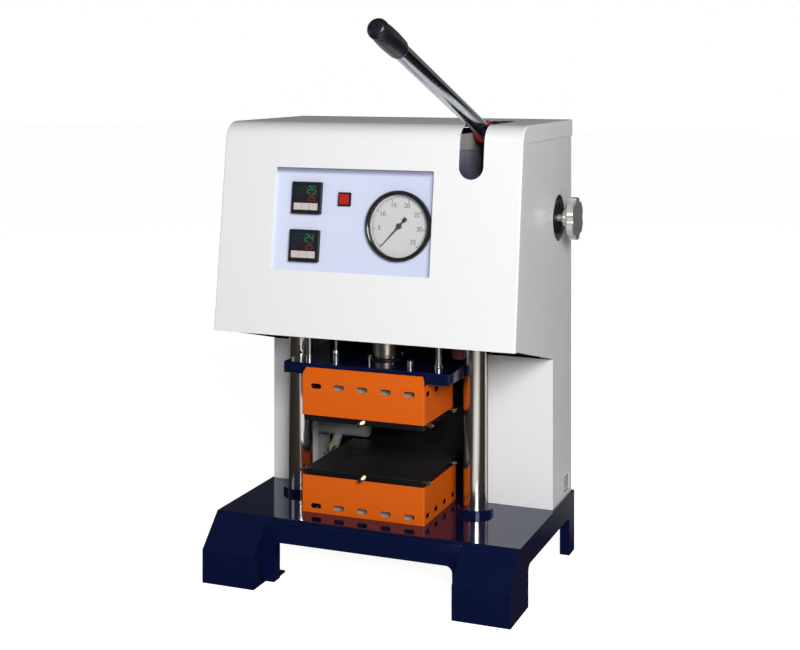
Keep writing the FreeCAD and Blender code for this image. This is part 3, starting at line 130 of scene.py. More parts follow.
# The camera sees a white backdrop all round. Shiny surfaces see it behind the press, and a dim
# room elsewhere that is a little brighter overhead. Matt ones get an even light.
world = bpy.data.worlds.new("studio_room")
bpy.context.scene.world = world
world.use_nodes = True
room = world.node_tree
room.nodes.clear()
room_output = room.nodes.new("ShaderNodeOutputWorld")
room_light = room.nodes.new("ShaderNodeBackground")
room_light.inputs["Color"].default_value = (1, 1, 1, 1)
ray = room.nodes.new("ShaderNodeLightPath").outputs
heading = axes(room, "Generated")
low = rescale(room, heading["Z"], 0.16, 0.05)
behind = rescale(room, heading["Y"], 0.45, 0.75)
to_the_left = rescale(room, heading["X"], 0.14, -0.04)
backdrop = reckon(room, "MULTIPLY", reckon(room, "MULTIPLY", low, behind), to_the_left)
ceiling = rescale(room, heading["Z"], 0.60, 0.95, 0.0, 0.06)
walls = rescale(room, heading["Z"], 0.30, 0.05, 0.05, 0.24)
shiny = reckon(room, "MAXIMUM", backdrop, reckon(room, "MAXIMUM", ceiling, walls))
matt = rescale(room, heading["Z"], 0.0, 0.9, 0.22, 0.03)
direct = reckon(room, "MAXIMUM", ray["Is Camera Ray"], ray["Is Transmission Ray"])
seen = mix(room, direct, mix(room, ray["Is Glossy Ray"], matt, shiny, "FLOAT"), 1.0, "FLOAT")
wire(room, (seen, room_light.inputs["Strength"]), (room_light.outputs[0], room_output.inputs[0]))

floor_bm = bmesh.new()
bmesh.ops.create_grid(floor_bm, x_segments=4, y_segments=4, size=14)
floor_mesh = bpy.data.meshes.new("floor")
floor_bm.to_mesh(floor_mesh)
floor_bm.free()
floor = bpy.data.objects.new("floor", floor_mesh)
bpy.context.scene.collection.objects.link(floor)
floor_paint = bpy.data.materials.new("white_floor")
floor_paint.use_nodes = True
boards = floor_paint.node_tree
boards.nodes.clear()
floor_output = boards.nodes.new("ShaderNodeOutputMaterial")
floor_matte = boards.nodes.new("ShaderNodeBsdfDiffuse")
floor_glow = boards.nodes.new("ShaderNodeEmission")
floor_sum = boards.nodes.new("ShaderNodeAddShader")
ray = boards.nodes.new("ShaderNodeLightPath").outputs
spot = axes(boards)
# Shiny surfaces see two glowing patches on the floor, painted light for their reflections: one in
# front of the press to the right, and one far behind it to the left.
flat_spot = boards.nodes.new("ShaderNodeVectorMath")
flat_spot.operation = "NORMALIZE"
toward_lamp = boards.nodes.new("ShaderNodeVectorMath")
toward_lamp.operation = "DOT_PRODUCT"
toward_lamp.inputs[1].default_value = (0.56, -0.828, 0)
wire(boards, (coordinate(boards), flat_spot.inputs[0]), (flat_spot.outputs[0], toward_lamp.inputs[0]))
lit_depth = reckon(boards, "MULTIPLY", rescale(boards, spot["Y"], -0.34, -0.42),
                   rescale(boards, spot["Y"], -1.60, -1.05, 0.28, 1.0))
lit_board = reckon(boards, "MULTIPLY", rescale(boards, toward_lamp.outputs["Value"], 0.85, 1.0, 0.0, 0.95),
                   lit_depth)
far_board = reckon(boards, "MULTIPLY", rescale(boards, spot["X"], 0.4, 0.1, 0.0, 0.7),
                   rescale(boards, spot["Y"], 0.2, 0.5))
mirrored = reckon(boards, "MULTIPLY", ray["Is Glossy Ray"], reckon(boards, "MAXIMUM", lit_board, far_board))
seen = reckon(boards, "MAXIMUM", ray["Is Camera Ray"], ray["Is Transmission Ray"])
level = reckon(boards, "MAXIMUM", reckon(boards, "MULTIPLY", seen, 0.93), mirrored)
tone = mix(boards, ray["Is Glossy Ray"], (0.60, 0.60, 0.60), (0.065, 0.052, 0.045))
wire(boards, (tone, floor_matte.inputs["Color"]), (level, floor_glow.inputs["Strength"]),
     (floor_matte.outputs[0], floor_sum.inputs[0]), (floor_glow.outputs[0], floor_sum.inputs[1]),
     (floor_sum.outputs[0], floor_output.inputs[0]))
floor_mesh.materials.append(floor_paint)


# The base: 3 mm sheet, cut, folded and welded, then sprayed with a deep navy gloss enamel.
# Its folds are rounded by the brake, so every outer corner carries a thin line of light.
def noise(tree, place, scale, detail=2.0):
    cloud = tree.nodes.new("ShaderNodeTexNoise")
    for label, value in (("Vector", place), ("Scale", scale), ("Detail", detail)):
        feed(tree, cloud.inputs[label], value)
    return cloud.outputs[0]


def bump(tree, height, strength, distance):
    relief = tree.nodes.new("ShaderNodeBump")
    for label, value in (("Height", height), ("Strength", strength), ("Distance", distance)):
        feed(tree, relief.inputs[label], value)
    return relief.outputs[0]


def socket_group(name, inputs, outputs):
    group = bpy.data.node_groups.new(name, "ShaderNodeTree")
    for label, kind, value in inputs:
        made = group.interface.new_socket(name=label, in_out="INPUT", socket_type=kind)
        made.default_value = value
    for label, kind in outputs:
        group.interface.new_socket(name=label, in_out="OUTPUT", socket_type=kind)
    entry = group.nodes.new("NodeGroupInput").outputs
    leave = group.nodes.new("NodeGroupOutput").inputs
    return group, entry, leave


# Sprayed enamel: the fine ripple that a gun leaves, and a gloss that differs a little over the sheet
sprayed_enamel, entry, leave = socket_group(
    "sprayed_enamel",
    [("Ripple per metre", "NodeSocketFloat", 420.0), ("Ripple depth", "NodeSocketFloat", 0.06),
     ("Roughness", "NodeSocketFloat", 0.2), ("Unevenness", "NodeSocketFloat", 0.04)],
    [("Roughness", "NodeSocketFloat"), ("Normal", "NodeSocketVector")])
ripple = noise(sprayed_enamel, coordinate(sprayed_enamel), entry["Ripple per metre"])
cloud = noise(sprayed_enamel, coordinate(sprayed_enamel), 11.0, 4.0)
glossiest = reckon(sprayed_enamel, "SUBTRACT", entry["Roughness"], entry["Unevenness"])
dullest = reckon(sprayed_enamel, "ADD", entry["Roughness"], entry["Unevenness"])
wire(sprayed_enamel, (rescale(sprayed_enamel, cloud, 0.3, 0.7, glossiest, dullest), leave["Roughness"]),
     (bump(sprayed_enamel, ripple, entry["Ripple depth"], 0.0003), leave["Normal"]))

# Settled dust and painted shade: faces that look up are mixed towards a grey, broken up by a cloudy
# pattern. Small amounts are a thin film of dust; large amounts are painted shade.
dust_and_painted_shade, entry, leave = socket_group(
    "dust_and_painted_shade",
    [("Colour", "NodeSocketColor", (0.5, 0.5, 0.5, 1)), ("Amount", "NodeSocketFloat", 0.03)],
    [("Colour", "NodeSocketColor"), ("Film", "NodeSocketFloat")])
upward = rescale(dust_and_painted_shade, axes(dust_and_painted_shade, "Normal")["Z"], 0.5, 1.0)
patchy = rescale(dust_and_painted_shade, noise(dust_and_painted_shade, coordinate(dust_and_painted_shade), 34.0, 7.0), -1.0, 1.25)
film = reckon(dust_and_painted_shade, "MULTIPLY", reckon(dust_and_painted_shade, "MULTIPLY", upward, patchy), entry["Amount"])
wire(dust_and_painted_shade, (mix(dust_and_painted_shade, film, entry["Colour"], (0.42, 0.40, 0.37)), leave["Colour"]),
     (film, leave["Film"]))


def finish_material(name, metallic=0.0, roughness=0.4, specular=0.5):
    material = bpy.data.materials.new(name)
    material.use_nodes = True
    surface = material.node_tree.nodes["Principled BSDF"]
    surface.inputs["Metallic"].default_value = metallic
    surface.inputs["Roughness"].default_value = roughness
    surface.inputs["Specular IOR Level"].default_value = specular
    return material, material.node_tree, surface


def place_group(tree, group, **values):
    made = tree.nodes.new("ShaderNodeGroup")
    made.node_tree = group
    for label, value in values.items():
        made.inputs[label.replace("_", " ")].default_value = value
    return made


def spray(tree, surface, ripple, depth, roughness, unevenness):
    sprayed = place_group(tree, sprayed_enamel, Ripple_per_metre=ripple, Ripple_depth=depth,
                          Roughness=roughness, Unevenness=unevenness)
    for label in ("Roughness", "Normal"):
        tree.links.new(sprayed.outputs[label], surface.inputs[label])
    return sprayed


def enamel(name, colour, roughness, ripple, depth, dust_and_shade, unevenness=0.03, specular=0.5):
    material, tree, surface = finish_material(name, specular=specular)
    sprayed = spray(tree, surface, ripple, depth, roughness, unevenness)
    dusted_and_shaded = place_group(tree, dust_and_painted_shade, Colour=(*colour, 1), Amount=dust_and_shade)
    softer = reckon(tree, "ADD", sprayed.outputs["Roughness"], dusted_and_shaded.outputs["Film"])
    wire(tree, (dusted_and_shaded.outputs["Colour"], surface.inputs["Base Color"]), (softer, surface.inputs["Roughness"]))
    return material


body_of_node = {member: body for body, members in frame["record"]["behaviour"]["bodies"].items()
                for member in members}


def coat_nodes(material, *names):
    for name in names:
        cad[name].data.materials.clear()
        cad[name].data.materials.append(material)


def finish_piece(name, bm, material, body, smooth_angle=32):
    bmesh.ops.recalc_face_normals(bm, faces=bm.faces)
    for face in bm.faces:
        face.smooth = True
    for edge in bm.edges:
        edge.smooth = edge.is_manifold and edge.calc_face_angle() < math.radians(smooth_angle)
    mesh = bpy.data.meshes.new(name)
    bm.to_mesh(mesh)
    bm.free()
    mesh.materials.append(material)
    piece = bpy.data.objects.new(name, mesh)
    bpy.context.scene.collection.objects.link(piece)
    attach(piece, body)
    return piece


# A copy of a folded or machined part whose sharp edges are eased the way its maker eases them
def eased_part(node, width, material, segments=2):
    bm = bmesh.new()
    bm.from_mesh(cad[node].data)
    bmesh.ops.remove_doubles(bm, verts=bm.verts, dist=0.000002)
    bmesh.ops.dissolve_limit(bm, angle_limit=math.radians(0.8), verts=bm.verts, edges=bm.edges)
    sharp = [edge for edge in bm.edges
             if edge.is_manifold and edge.calc_face_angle() > math.radians(28)]
    bmesh.ops.bevel(bm, geom=sharp, offset=width, offset_type="OFFSET", segments=segments, profile=0.5,
                    affect="EDGES", material=-1, clamp_overlap=False, loop_slide=True)
    piece = finish_piece(f"{node}_finished", bm, material, body_of_node[node], smooth_angle=50)
    flat_faces = piece.modifiers.new("flat_faces", "WEIGHTED_NORMAL")
    flat_faces.weight = 100
    flat_faces.keep_sharp = True
    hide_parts(node)


navy_enamel = enamel("navy_enamel", (0.0030, 0.0062, 0.036), 0.07, ripple=300.0, depth=0.03, dust_and_shade=0.006,
                     unevenness=0.02)
navy_enamel.node_tree.nodes["Principled BSDF"].inputs["Specular Tint"].default_value = (0.66, 0.80, 1.0, 1)
eased_part("base_frame", 0.0008, navy_enamel, segments=3)
coat_nodes(navy_enamel, "bed_plate")


# The columns: ground bar with a thin hard chrome, polished along its length. Their collars are
# sprayed navy like the base, and the nuts on the threaded ends are plain zinc-plated steel.

# Ground finish: faint rings round a turned bar, running across its own length
ground_rings, entry, leave = socket_group(
    "ground_rings",
    [("Rings per metre", "NodeSocketFloat", 1400.0), ("Depth", "NodeSocketFloat", 0.05),
     ("Roughness", "NodeSocketFloat", 0.1), ("Spread", "NodeSocketFloat", 0.03)],
    [("Roughness", "NodeSocketFloat"), ("Normal", "NodeSocketVector")])
only_height = ground_rings.nodes.new("ShaderNodeCombineXYZ")
wire(ground_rings, (axes(ground_rings)["Z"], only_height.inputs["Z"]))
rings = noise(ground_rings, only_height.outputs[0], entry["Rings per metre"], 1.0)
dullest = reckon(ground_rings, "ADD", entry["Roughness"], entry["Spread"])
wire(ground_rings, (rescale(ground_rings, rings, 0.3, 0.7, entry["Roughness"], dullest), leave["Roughness"]),
     (bump(ground_rings, rings, entry["Depth"], 0.0001), leave["Normal"]))


def bright_metal(name, colour, roughness, rings=1400.0, depth=0.04, spread=0.03, rim=1.0, metallic=1.0):
    material, tree, surface = finish_material(name, metallic=metallic)
    surface.inputs["Base Color"].default_value = (*colour, 1)
    surface.inputs["Specular Tint"].default_value = (rim, rim, rim, 1)
    ground = place_group(tree, ground_rings, Rings_per_metre=rings, Depth=depth, Roughness=roughness,
                         Spread=spread)
    for label in ("Roughness", "Normal"):
        tree.links.new(ground.outputs[label], surface.inputs[label])
    return material


hard_chrome = bright_metal("hard_chrome", (0.78, 0.74, 0.70), 0.15, rim=0.0)
zinc_plate = bright_metal("zinc_plate", (0.55, 0.55, 0.54), 0.26, rings=500.0, depth=0.1, spread=0.08)
coat_nodes(hard_chrome, "columns")
coat_nodes(navy_enamel, "column_collars")
coat_nodes(zinc_plate, "column_nuts")


# The press unit above the platens: a crosshead on the columns and the moving plate on the ram,
# both sprayed like the base, with a machined cylinder, a chromed ram and a blackened flange.
machined_steel = bright_metal("machined_steel", (0.42, 0.41, 0.40), 0.30, rings=700.0, depth=0.12, spread=0.1)
warm_chrome = bright_metal("warm_chrome", (0.62, 0.53, 0.45), 0.30, rings=900.0, rim=0.3)
black_oxide = bright_metal("black_oxide", (0.018, 0.017, 0.018), 0.3, rings=800.0, depth=0.08, spread=0.1,
                           metallic=0.4)
eased_part("moving_plate", 0.0007, navy_enamel)
coat_nodes(navy_enamel, "crosshead")
coat_nodes(machined_steel, "cylinder")
coat_nodes(warm_chrome, "ram")
coat_nodes(black_oxide, "ram_flange")
coat_nodes(hard_chrome, "return_rods")
coat_nodes(zinc_plate, "return_springs", "thermocouple", "upper_screws")


# The platens: thick steel, surface-ground and blackened, on pressed boards that keep the heat in.
# The working faces are duller where work has lain on them.
def colour_ramp(tree, factor, first, second, start=0.0, end=1.0):
    ramp = tree.nodes.new("ShaderNodeValToRGB")
    for stop, position, colour in zip(ramp.color_ramp.elements, (start, end), (first, second)):
        stop.position = position
        stop.color = (*colour, 1)
    tree.links.new(factor, ramp.inputs[0])
    return ramp.outputs[0]


platen_black, tree, surface = finish_material("platen_black")
grind = tree.nodes.new("ShaderNodeMapping")
grind.inputs["Scale"].default_value = (30, 900, 30)
wire(tree, (coordinate(tree), grind.inputs["Vector"]))
scratch = noise(tree, grind.outputs[0], 1.0, 3.0)
stain = noise(tree, coordinate(tree), 16.0, 5.0)
# Side faces are coloured darker than the top and bottom faces: painted shade
painted_side_shade_mix = rescale(tree, reckon(tree, "ABSOLUTE", axes(tree, "Normal")["Z"], 0.0), 0.4, 0.9)
blackened = colour_ramp(tree, stain, (0.013, 0.011, 0.012), (0.034, 0.029, 0.032))
wire(tree, (mix(tree, painted_side_shade_mix, (0.005, 0.0045, 0.005), blackened), surface.inputs["Base Color"]),
     (rescale(tree, stain, 0.3, 0.7, 0.24, 0.42), surface.inputs["Roughness"]),
     (bump(tree, scratch, 0.08, 0.0002), surface.inputs["Normal"]))
for node in ("lower_platen", "upper_platen"):
    eased_part(node, 0.0004, platen_black)
pressed_board, tree, surface = finish_material("pressed_board", roughness=0.85)
flock = noise(tree, coordinate(tree), 260.0, 6.0)
fibres = colour_ramp(tree, flock, (0.50, 0.50, 0.49), (0.70, 0.70, 0.69), 0.3, 0.75)
wire(tree, (fibres, surface.inputs["Base Color"]), (bump(tree, flock, 0.35, 0.0004), surface.inputs["Normal"]))
coat_nodes(pressed_board, "lower_insulation", "upper_insulation")
coat_nodes(zinc_plate, "lower_heaters", "upper_heaters")
grey_duct, tree, surface = finish_material("grey_duct")
spray(tree, surface, 700.0, 0.10, 0.42, 0.06)
connector = reckon(tree, "LESS_THAN", axes(tree)["Z"], 0.157)
wire(tree, (mix(tree, connector, (0.72, 0.77, 0.81), (0.62, 0.56, 0.40)), surface.inputs["Base Color"]))
coat_nodes(grey_duct, "lower_conduit")


# The guards: one thin sheet each, punched, folded round three sides of a platen and sprayed
# orange. Punching leaves a slight round on each slot, which the paint fills. Brass wing screws
# in the platens' edges hold them.
orange_enamel = enamel("orange_enamel", (0.70, 0.116, 0.0050), 0.36, ripple=600.0, depth=0.10, dust_and_shade=0.004,
                       specular=0.2)
for node in ("lower_guard", "upper_guard"):
    eased_part(node, 0.00035, orange_enamel)
turned_brass = bright_metal("turned_brass", (0.32, 0.265, 0.18), 0.42, rings=900.0, depth=0.08)
coat_nodes(turned_brass, "frame_screws")


def new_verts(result):
    return [item for item in result["geom"] if isinstance(item, bmesh.types.BMVert)]


front_face = Matrix.Rotation(math.radians(90), 4, "X")
right_face = Matrix.Rotation(math.radians(90), 4, "Y")
left_face = Matrix.Rotation(math.radians(-90), 4, "Y")
front_y, right_x, left_x, rear_screw_y = -0.0937, 0.0850, -0.1220, 0.038
wing_radius, wing_thickness, wing_reach, wing_tilt = 0.0034, 0.0014, 0.0042, 0.5
for body, height, spots in (
        ("machine", 0.1578, ((-0.015, front_y, front_face, 40), (right_x, -0.074, right_face, 80),
                             (right_x, rear_screw_y, right_face, 75), (left_x, -0.074, left_face, 50),
                             (left_x, rear_screw_y, left_face, 60))),
        ("press_slide", 0.2402, ((-0.017, front_y, front_face, 32), (right_x, -0.065, right_face, 75),
                                 (right_x, rear_screw_y, right_face, 95), (left_x, -0.065, left_face, 120),
                                 (left_x, rear_screw_y, left_face, 60)))):
    wings = bmesh.new()
    for x, y, facing, turn in spots:
        seat = Matrix.Translation((x, y, height)) @ facing
        for side in (-1, 1):
            leaf = bmesh.ops.create_circle(wings, cap_ends=True, segments=20, radius=wing_radius)
            tip = new_verts(bmesh.ops.extrude_face_region(wings, geom=list(leaf["verts"][0].link_faces)))
            bmesh.ops.translate(wings, verts=tip, vec=(0, 0, wing_thickness))
            local = (Matrix.Rotation(math.radians(turn), 4, "Z")
                     @ Matrix.Translation((side * wing_reach, 0, 0.0002))
                     @ Matrix.Rotation(side * wing_tilt, 4, "Y") @ Matrix.Diagonal((1.25, 0.72, 1, 1)))
            bmesh.ops.transform(wings, matrix=seat @ local, verts=list(leaf["verts"]) + tip)
        hub = bmesh.ops.create_cone(wings, cap_ends=True, segments=20, radius1=0.0026, radius2=0.0022,
                                    depth=0.0026)
        bmesh.ops.transform(wings, matrix=seat @ Matrix.Translation((0, 0, 0.0012)), verts=hub["verts"])
    finish_piece(f"{body}_wing_heads", wings, turned_brass, body)


# The covers: 1.5 mm sheet, folded and sprayed with a white gloss enamel outside. Their inward
# faces are coloured near-black: painted shade for the dim inside of the cabinet.
def cover_paint(name, inside_axis, inside_sign):
    material, tree, surface = finish_material(name)
    spray(tree, surface, 380.0, 0.05, 0.24, 0.03)
    inward = reckon(tree, "MULTIPLY", axes(tree, "Normal")[inside_axis], inside_sign)
    # Faces that look inward are coloured near-black: painted shade
    inward_painted_shade = reckon(tree, "GREATER_THAN", inward, 0.6)
    wire(tree, (mix(tree, inward_painted_shade, (0.83, 0.83, 0.845), (0.020, 0.018, 0.019)), surface.inputs["Base Color"]))
    return material


# On the hood and cabinet fronts the amount is large: faces that look up, the roof most, are greyed in a cloudy
# pattern as painted shade for the dim light from above.
hood_white = enamel("hood_white", (0.85, 0.85, 0.86), 0.24, ripple=380.0, depth=0.05, dust_and_shade=0.42)
eased_part("hood_cover", 0.0003, hood_white)
eased_part("side_panel_left", 0.0003, cover_paint("left_panel_white", "X", 1.0))
eased_part("side_panel_right", 0.0003, cover_paint("right_panel_white", "X", -1.0))
eased_part("rear_cover", 0.0003, cover_paint("rear_white", "Y", -1.0))
for node in ("cabinet_front_left", "cabinet_front_right"):
    eased_part(node, 0.0004, hood_white)


# The instrument panel: a sheet with a satin lavender film, set back behind the window. The film
# is darker along its top and right edges, which the window's edge shades.
lavender_film, tree, surface = finish_material("lavender_film")
spray(tree, surface, 1500.0, 0.08, 0.42, 0.03)
spot = axes(tree)
fade = reckon(tree, "ADD", rescale(tree, spot["X"], -0.15, 0.10, 0.0, 0.85),
              rescale(tree, noise(tree, coordinate(tree), 9.0), 0.3, 0.7, 0.0, 0.15))
lavender = colour_ramp(tree, fade, (0.71, 0.76, 0.94), (0.60, 0.64, 0.83))
shade = reckon(tree, "MAXIMUM", rescale(tree, spot["Z"], 0.6120, 0.6175),
               rescale(tree, spot["X"], 0.0975, 0.1045, 0.0, 0.75))
wire(tree, (mix(tree, shade, lavender, (0.25, 0.255, 0.37)), surface.inputs["Base Color"]))
coat_nodes(lavender_film, "control_panel")


# The controllers: moulded black cases with a tinted window, lit digits behind it and a strip of
# three soft keys. The digits are plain numbers.
def moulded(name, colour, roughness, grain=900.0, depth=0.12, specular=0.5):
    material, tree, surface = finish_material(name, specular=specular)
    surface.inputs["Base Color"].default_value = (*colour, 1)
    spray(tree, surface, grain, depth, roughness, 0.05)
    return material


black_moulding = moulded("black_moulding", (0.012, 0.012, 0.015), 0.38, specular=0.25)
tinted_window = moulded("tinted_window", (0.014, 0.017, 0.026), 0.12, depth=0.01, specular=0.25)
key_plastic = moulded("key_plastic", (0.60, 0.52, 0.49), 0.5)
coat_nodes(black_moulding, "controller_cases")
coat_nodes(tinted_window, "controller_windows")
coat_nodes(key_plastic, *[f"key_{level}_{number}" for level in ("upper", "lower") for number in (1, 2, 3)])

# The panel leans back, and places on it are given from the foot of the hood's face
face_lean = math.radians(7.513)
face_foot_y, face_foot_z = -0.1419, 0.3735
panel_drop = 0.0045


def on_panel(x, up_face):
    spot = Vector((x, face_foot_y + up_face * math.sin(face_lean) + panel_drop * math.cos(face_lean),
                   face_foot_z + up_face * math.cos(face_lean) - panel_drop * math.sin(face_lean)))
    return Matrix.Translation(spot) @ Matrix.Rotation(math.pi / 2 - face_lean, 4, "X")


def lit_digit(name, colour):
    material, tree, surface = finish_material(name, roughness=0.3)
    surface.inputs["Base Color"].default_value = (*[part * 0.15 for part in colour], 1)
    surface.inputs["Emission Strength"].default_value = 0.28
    flicker = noise(tree, coordinate(tree), 700.0)
    wire(tree, (mix(tree, flicker, tuple(part * 0.8 for part in colour), colour), surface.inputs["Emission Color"]))
    return material


segments_of = {"2": "abged", "4": "bcfg", "5": "acdfg", " ": ""}


def add_digit(bm, numeral, centre_x, centre_y, height, level, panel_place, lit):
    width = height * 0.5
    bars = {"a": (0, height / 2, 0), "g": (0, 0, 0), "d": (0, -height / 2, 0), "f": (-width / 2, height / 4, 90),
            "b": (width / 2, height / 4, 90), "e": (-width / 2, -height / 4, 90),
            "c": (width / 2, -height / 4, 90)}
    wanted = segments_of[numeral] if lit else set(bars) - set(segments_of[numeral])
    for letter in sorted(wanted):
        x, y, turn = bars[letter]
        reach = (width if turn == 0 else height / 2) - height * 0.06
        bar = bmesh.ops.create_grid(bm, x_segments=1, y_segments=1, size=0.5)
        local = (Matrix.Translation((centre_x + x, centre_y + y, level))
                 @ Matrix.Rotation(math.radians(turn), 4, "Z") @ Matrix.Diagonal((reach, height * 0.12, 1, 1)))
        bmesh.ops.transform(bm, matrix=panel_place @ local, verts=bar["verts"])


digit_level = 0.00705
last_digit_x = 0.0128
for level, height, measured in (("upper", 0.2055, "  25"), ("lower", 0.1343, "  24")):
    panel_place = on_panel(-0.0955, height)
    for row, value, centre_y, size, hue in (("top", measured, 0.0120, 0.0105, (0.10, 0.46, 0.13)),
                                            ("bottom", "  25", 0.0, 0.0085, (0.50, 0.09, 0.06))):
        for lit in (True, False):
            bm = bmesh.new()
            for index, numeral in enumerate(value):
                add_digit(bm, numeral, last_digit_x - (3 - index) * size * 0.74, centre_y, size, digit_level,
                          panel_place, lit)
            name = f"{level}_{row}_digits_{'lit' if lit else 'dark'}"
            finish = lit_digit(name, hue) if lit else moulded(name, tuple(part * 0.07 for part in hue), 0.3)
            finish_piece(name, bm, finish, "machine")


# The power switch: a square black bezel pushed into the panel, and a red lens with a lamp behind
# it. The lens has fine prisms moulded on its back.
red_lens, tree, surface = finish_material("red_lens", roughness=0.22)
prism = tree.nodes.new("ShaderNodeTexVoronoi")
prism.inputs["Scale"].default_value = 900.0
red = colour_ramp(tree, prism.outputs["Distance"], (0.40, 0.010, 0.009), (0.50, 0.018, 0.015))
wire(tree, (coordinate(tree), prism.inputs["Vector"]), (red, surface.inputs["Base Color"]),
     (red, surface.inputs["Emission Color"]),
     (bump(tree, prism.outputs["Distance"], 0.2, 0.0002), surface.inputs["Normal"]))
surface.inputs["Emission Strength"].default_value = 0.04
coat_nodes(black_moulding, "switch_bezel")
coat_nodes(red_lens, "power_button")


# The gauge: a black pressed case and screwed bezel, a white printed dial under flat glass and a
# black pointer with a square tail. The print holds a plain scale and numbers.
black_gloss = moulded("black_gloss", (0.012, 0.012, 0.014), 0.16, depth=0.04)
dial_white = moulded("dial_white", (0.76, 0.75, 0.755), 0.5, grain=700.0, depth=0.03, specular=0.2)
pointer_black = moulded("pointer_black", (0.010, 0.010, 0.010), 0.4, depth=0.02)
coat_nodes(black_moulding, "gauge_case")
coat_nodes(black_gloss, "gauge_bezel")
coat_nodes(dial_white, "gauge_dial")
coat_nodes(pointer_black, "gauge_pointer")

# Shadow and diffuse rays pass straight through the glass, so the dial under it is lit
clear_glass, tree, surface = finish_material("clear_glass", roughness=0.0)
surface.inputs["Transmission Weight"].default_value = 1.0
surface.inputs["IOR"].default_value = 1.45
ray = tree.nodes.new("ShaderNodeLightPath").outputs
let_light = tree.nodes.new("ShaderNodeBsdfTransparent")
choose = tree.nodes.new("ShaderNodeMixShader")
wire(tree, (reckon(tree, "MAXIMUM", ray["Is Shadow Ray"], ray["Is Diffuse Ray"]), choose.inputs[0]),
     (surface.outputs[0], choose.inputs[1]), (let_light.outputs[0], choose.inputs[2]),
     (choose.outputs[0], tree.nodes["Material Output"].inputs["Surface"]))
coat_nodes(clear_glass, "gauge_glass")

dial_place = on_panel(0.0539, 0.1694)
dial_level = -0.00146
zero_angle, span, full_scale = 225.0, 270.0, 35
scale_radius, number_radius = 0.0430, 0.0318
line_width, major_width = 0.0004, 0.0009
arc_steps = 140
dial_print = bmesh.new()


def print_bar(turn, radius, length, width):
    bar = bmesh.ops.create_grid(dial_print, x_segments=1, y_segments=1, size=0.5)
    local = (Matrix.Rotation(math.radians(turn), 4, "Z") @ Matrix.Translation((radius, 0, dial_level))
             @ Matrix.Diagonal((length, width, 1, 1)))
    bmesh.ops.transform(dial_print, matrix=dial_place @ local, verts=bar["verts"])


for half_unit in range(full_scale * 2 + 1):
    major = half_unit % 10 == 0
    inner = 0.0375 if major else (0.0398 if half_unit % 2 == 0 else 0.0410)
    print_bar(zero_angle - span * half_unit / (full_scale * 2), (scale_radius + inner) / 2,
              scale_radius - inner, major_width if major else line_width)
for step in range(arc_steps):
    print_bar(zero_angle - span * (step + 0.5) / arc_steps, scale_radius, line_width,
              scale_radius * math.radians(span / arc_steps) * 1.05)
finish_piece("dial_scale", dial_print, pointer_black, "machine")
for number in range(5, full_scale + 1, 5):
    angle = math.radians(zero_angle - span * number / full_scale)
    text_data = bpy.data.curves.new("dial_number", "FONT")
    text_data.body = str(number)
    text_data.size = 0.0096
    text_data.align_x = "CENTER"
    text_data.align_y = "CENTER"
    text = bpy.data.objects.new("dial_number", text_data)
    bpy.context.scene.collection.objects.link(text)
    bpy.context.view_layer.update()
    mesh = bpy.data.meshes.new_from_object(text.evaluated_get(bpy.context.evaluated_depsgraph_get()))
    bpy.data.objects.remove(text)
    bm = bmesh.new()
    bm.from_mesh(mesh)
    local = Matrix.Translation((number_radius * math.cos(angle), number_radius * math.sin(angle), dial_level))
    bmesh.ops.transform(bm, matrix=dial_place @ local, verts=bm.verts)
    finish_piece(f"dial_number_{number}", bm, pointer_black, "machine")


# The hand pump and its lever: a red sprayed casting with a forked head, a chromed tube and a
# moulded grip. The slot behind the lever has a trough and a pale edge strip in painted shade and light.
red_enamel = enamel("red_enamel", (0.24, 0.014, 0.012), 0.26, ripple=500.0, depth=0.12, dust_and_shade=0.02)
# The valve block's red is a darker copy of the pump's red: painted shade for where it sits under the hood
red_painted_shade = enamel("red_enamel_painted_shade", (0.10, 0.012, 0.009), 0.5, ripple=500.0, depth=0.2, dust_and_shade=0.02)
lever_chrome = bright_metal("lever_chrome", (0.44, 0.46, 0.50), 0.16, rings=300.0, depth=0.02)
grip_black = moulded("grip_black", (0.010, 0.0095, 0.017), 0.3, grain=1200.0, depth=0.06)
coat_nodes(red_enamel, "pump_body", "lever_yoke")
coat_nodes(red_painted_shade, "valve_block")
coat_nodes(hard_chrome, "pump_plunger")
coat_nodes(zinc_plate, "pump_spring", "pivot_pin")
coat_nodes(lever_chrome, "lever_tube")
coat_nodes(grip_black, "lever_grip")
# The lever throws no shadow on the hood, as in the photograph's wide light
for node in ("lever_tube", "lever_grip"):
    cad[node].visible_shadow = False

# The trough's colour is darker low and lighter high, and lighter towards the back: painted shade and painted light
# in the slot. The tail piece extends its left wall backwards in the same colours.
slate_lining, tree, surface = finish_material("slate_lining")
spray(tree, surface, 600.0, 0.08, 0.45, 0.05)
spot = axes(tree)
slate_painted_shade = colour_ramp(tree, rescale(tree, spot["Z"], 0.615, 0.648), (0.07, 0.065, 0.11), (0.22, 0.22, 0.31))
painted_light_deeper = rescale(tree, spot["Y"], -0.075, -0.01, 0.0, 0.6)
wire(tree, (mix(tree, painted_light_deeper, slate_painted_shade, (0.42, 0.42, 0.52)), surface.inputs["Base Color"]))
coat_nodes(slate_lining, "slot_shroud")
tail = bmesh.new()
bmesh.ops.create_cube(tail, size=1.0)
bmesh.ops.transform(tail, verts=tail.verts, matrix=Matrix.Translation((0.1417, -0.0149, 0.6400))
                    @ Matrix.Diagonal((0.0012, 0.0268, 0.0720, 1)))
finish_piece("slot_lining_tail", tail, slate_lining, "machine")
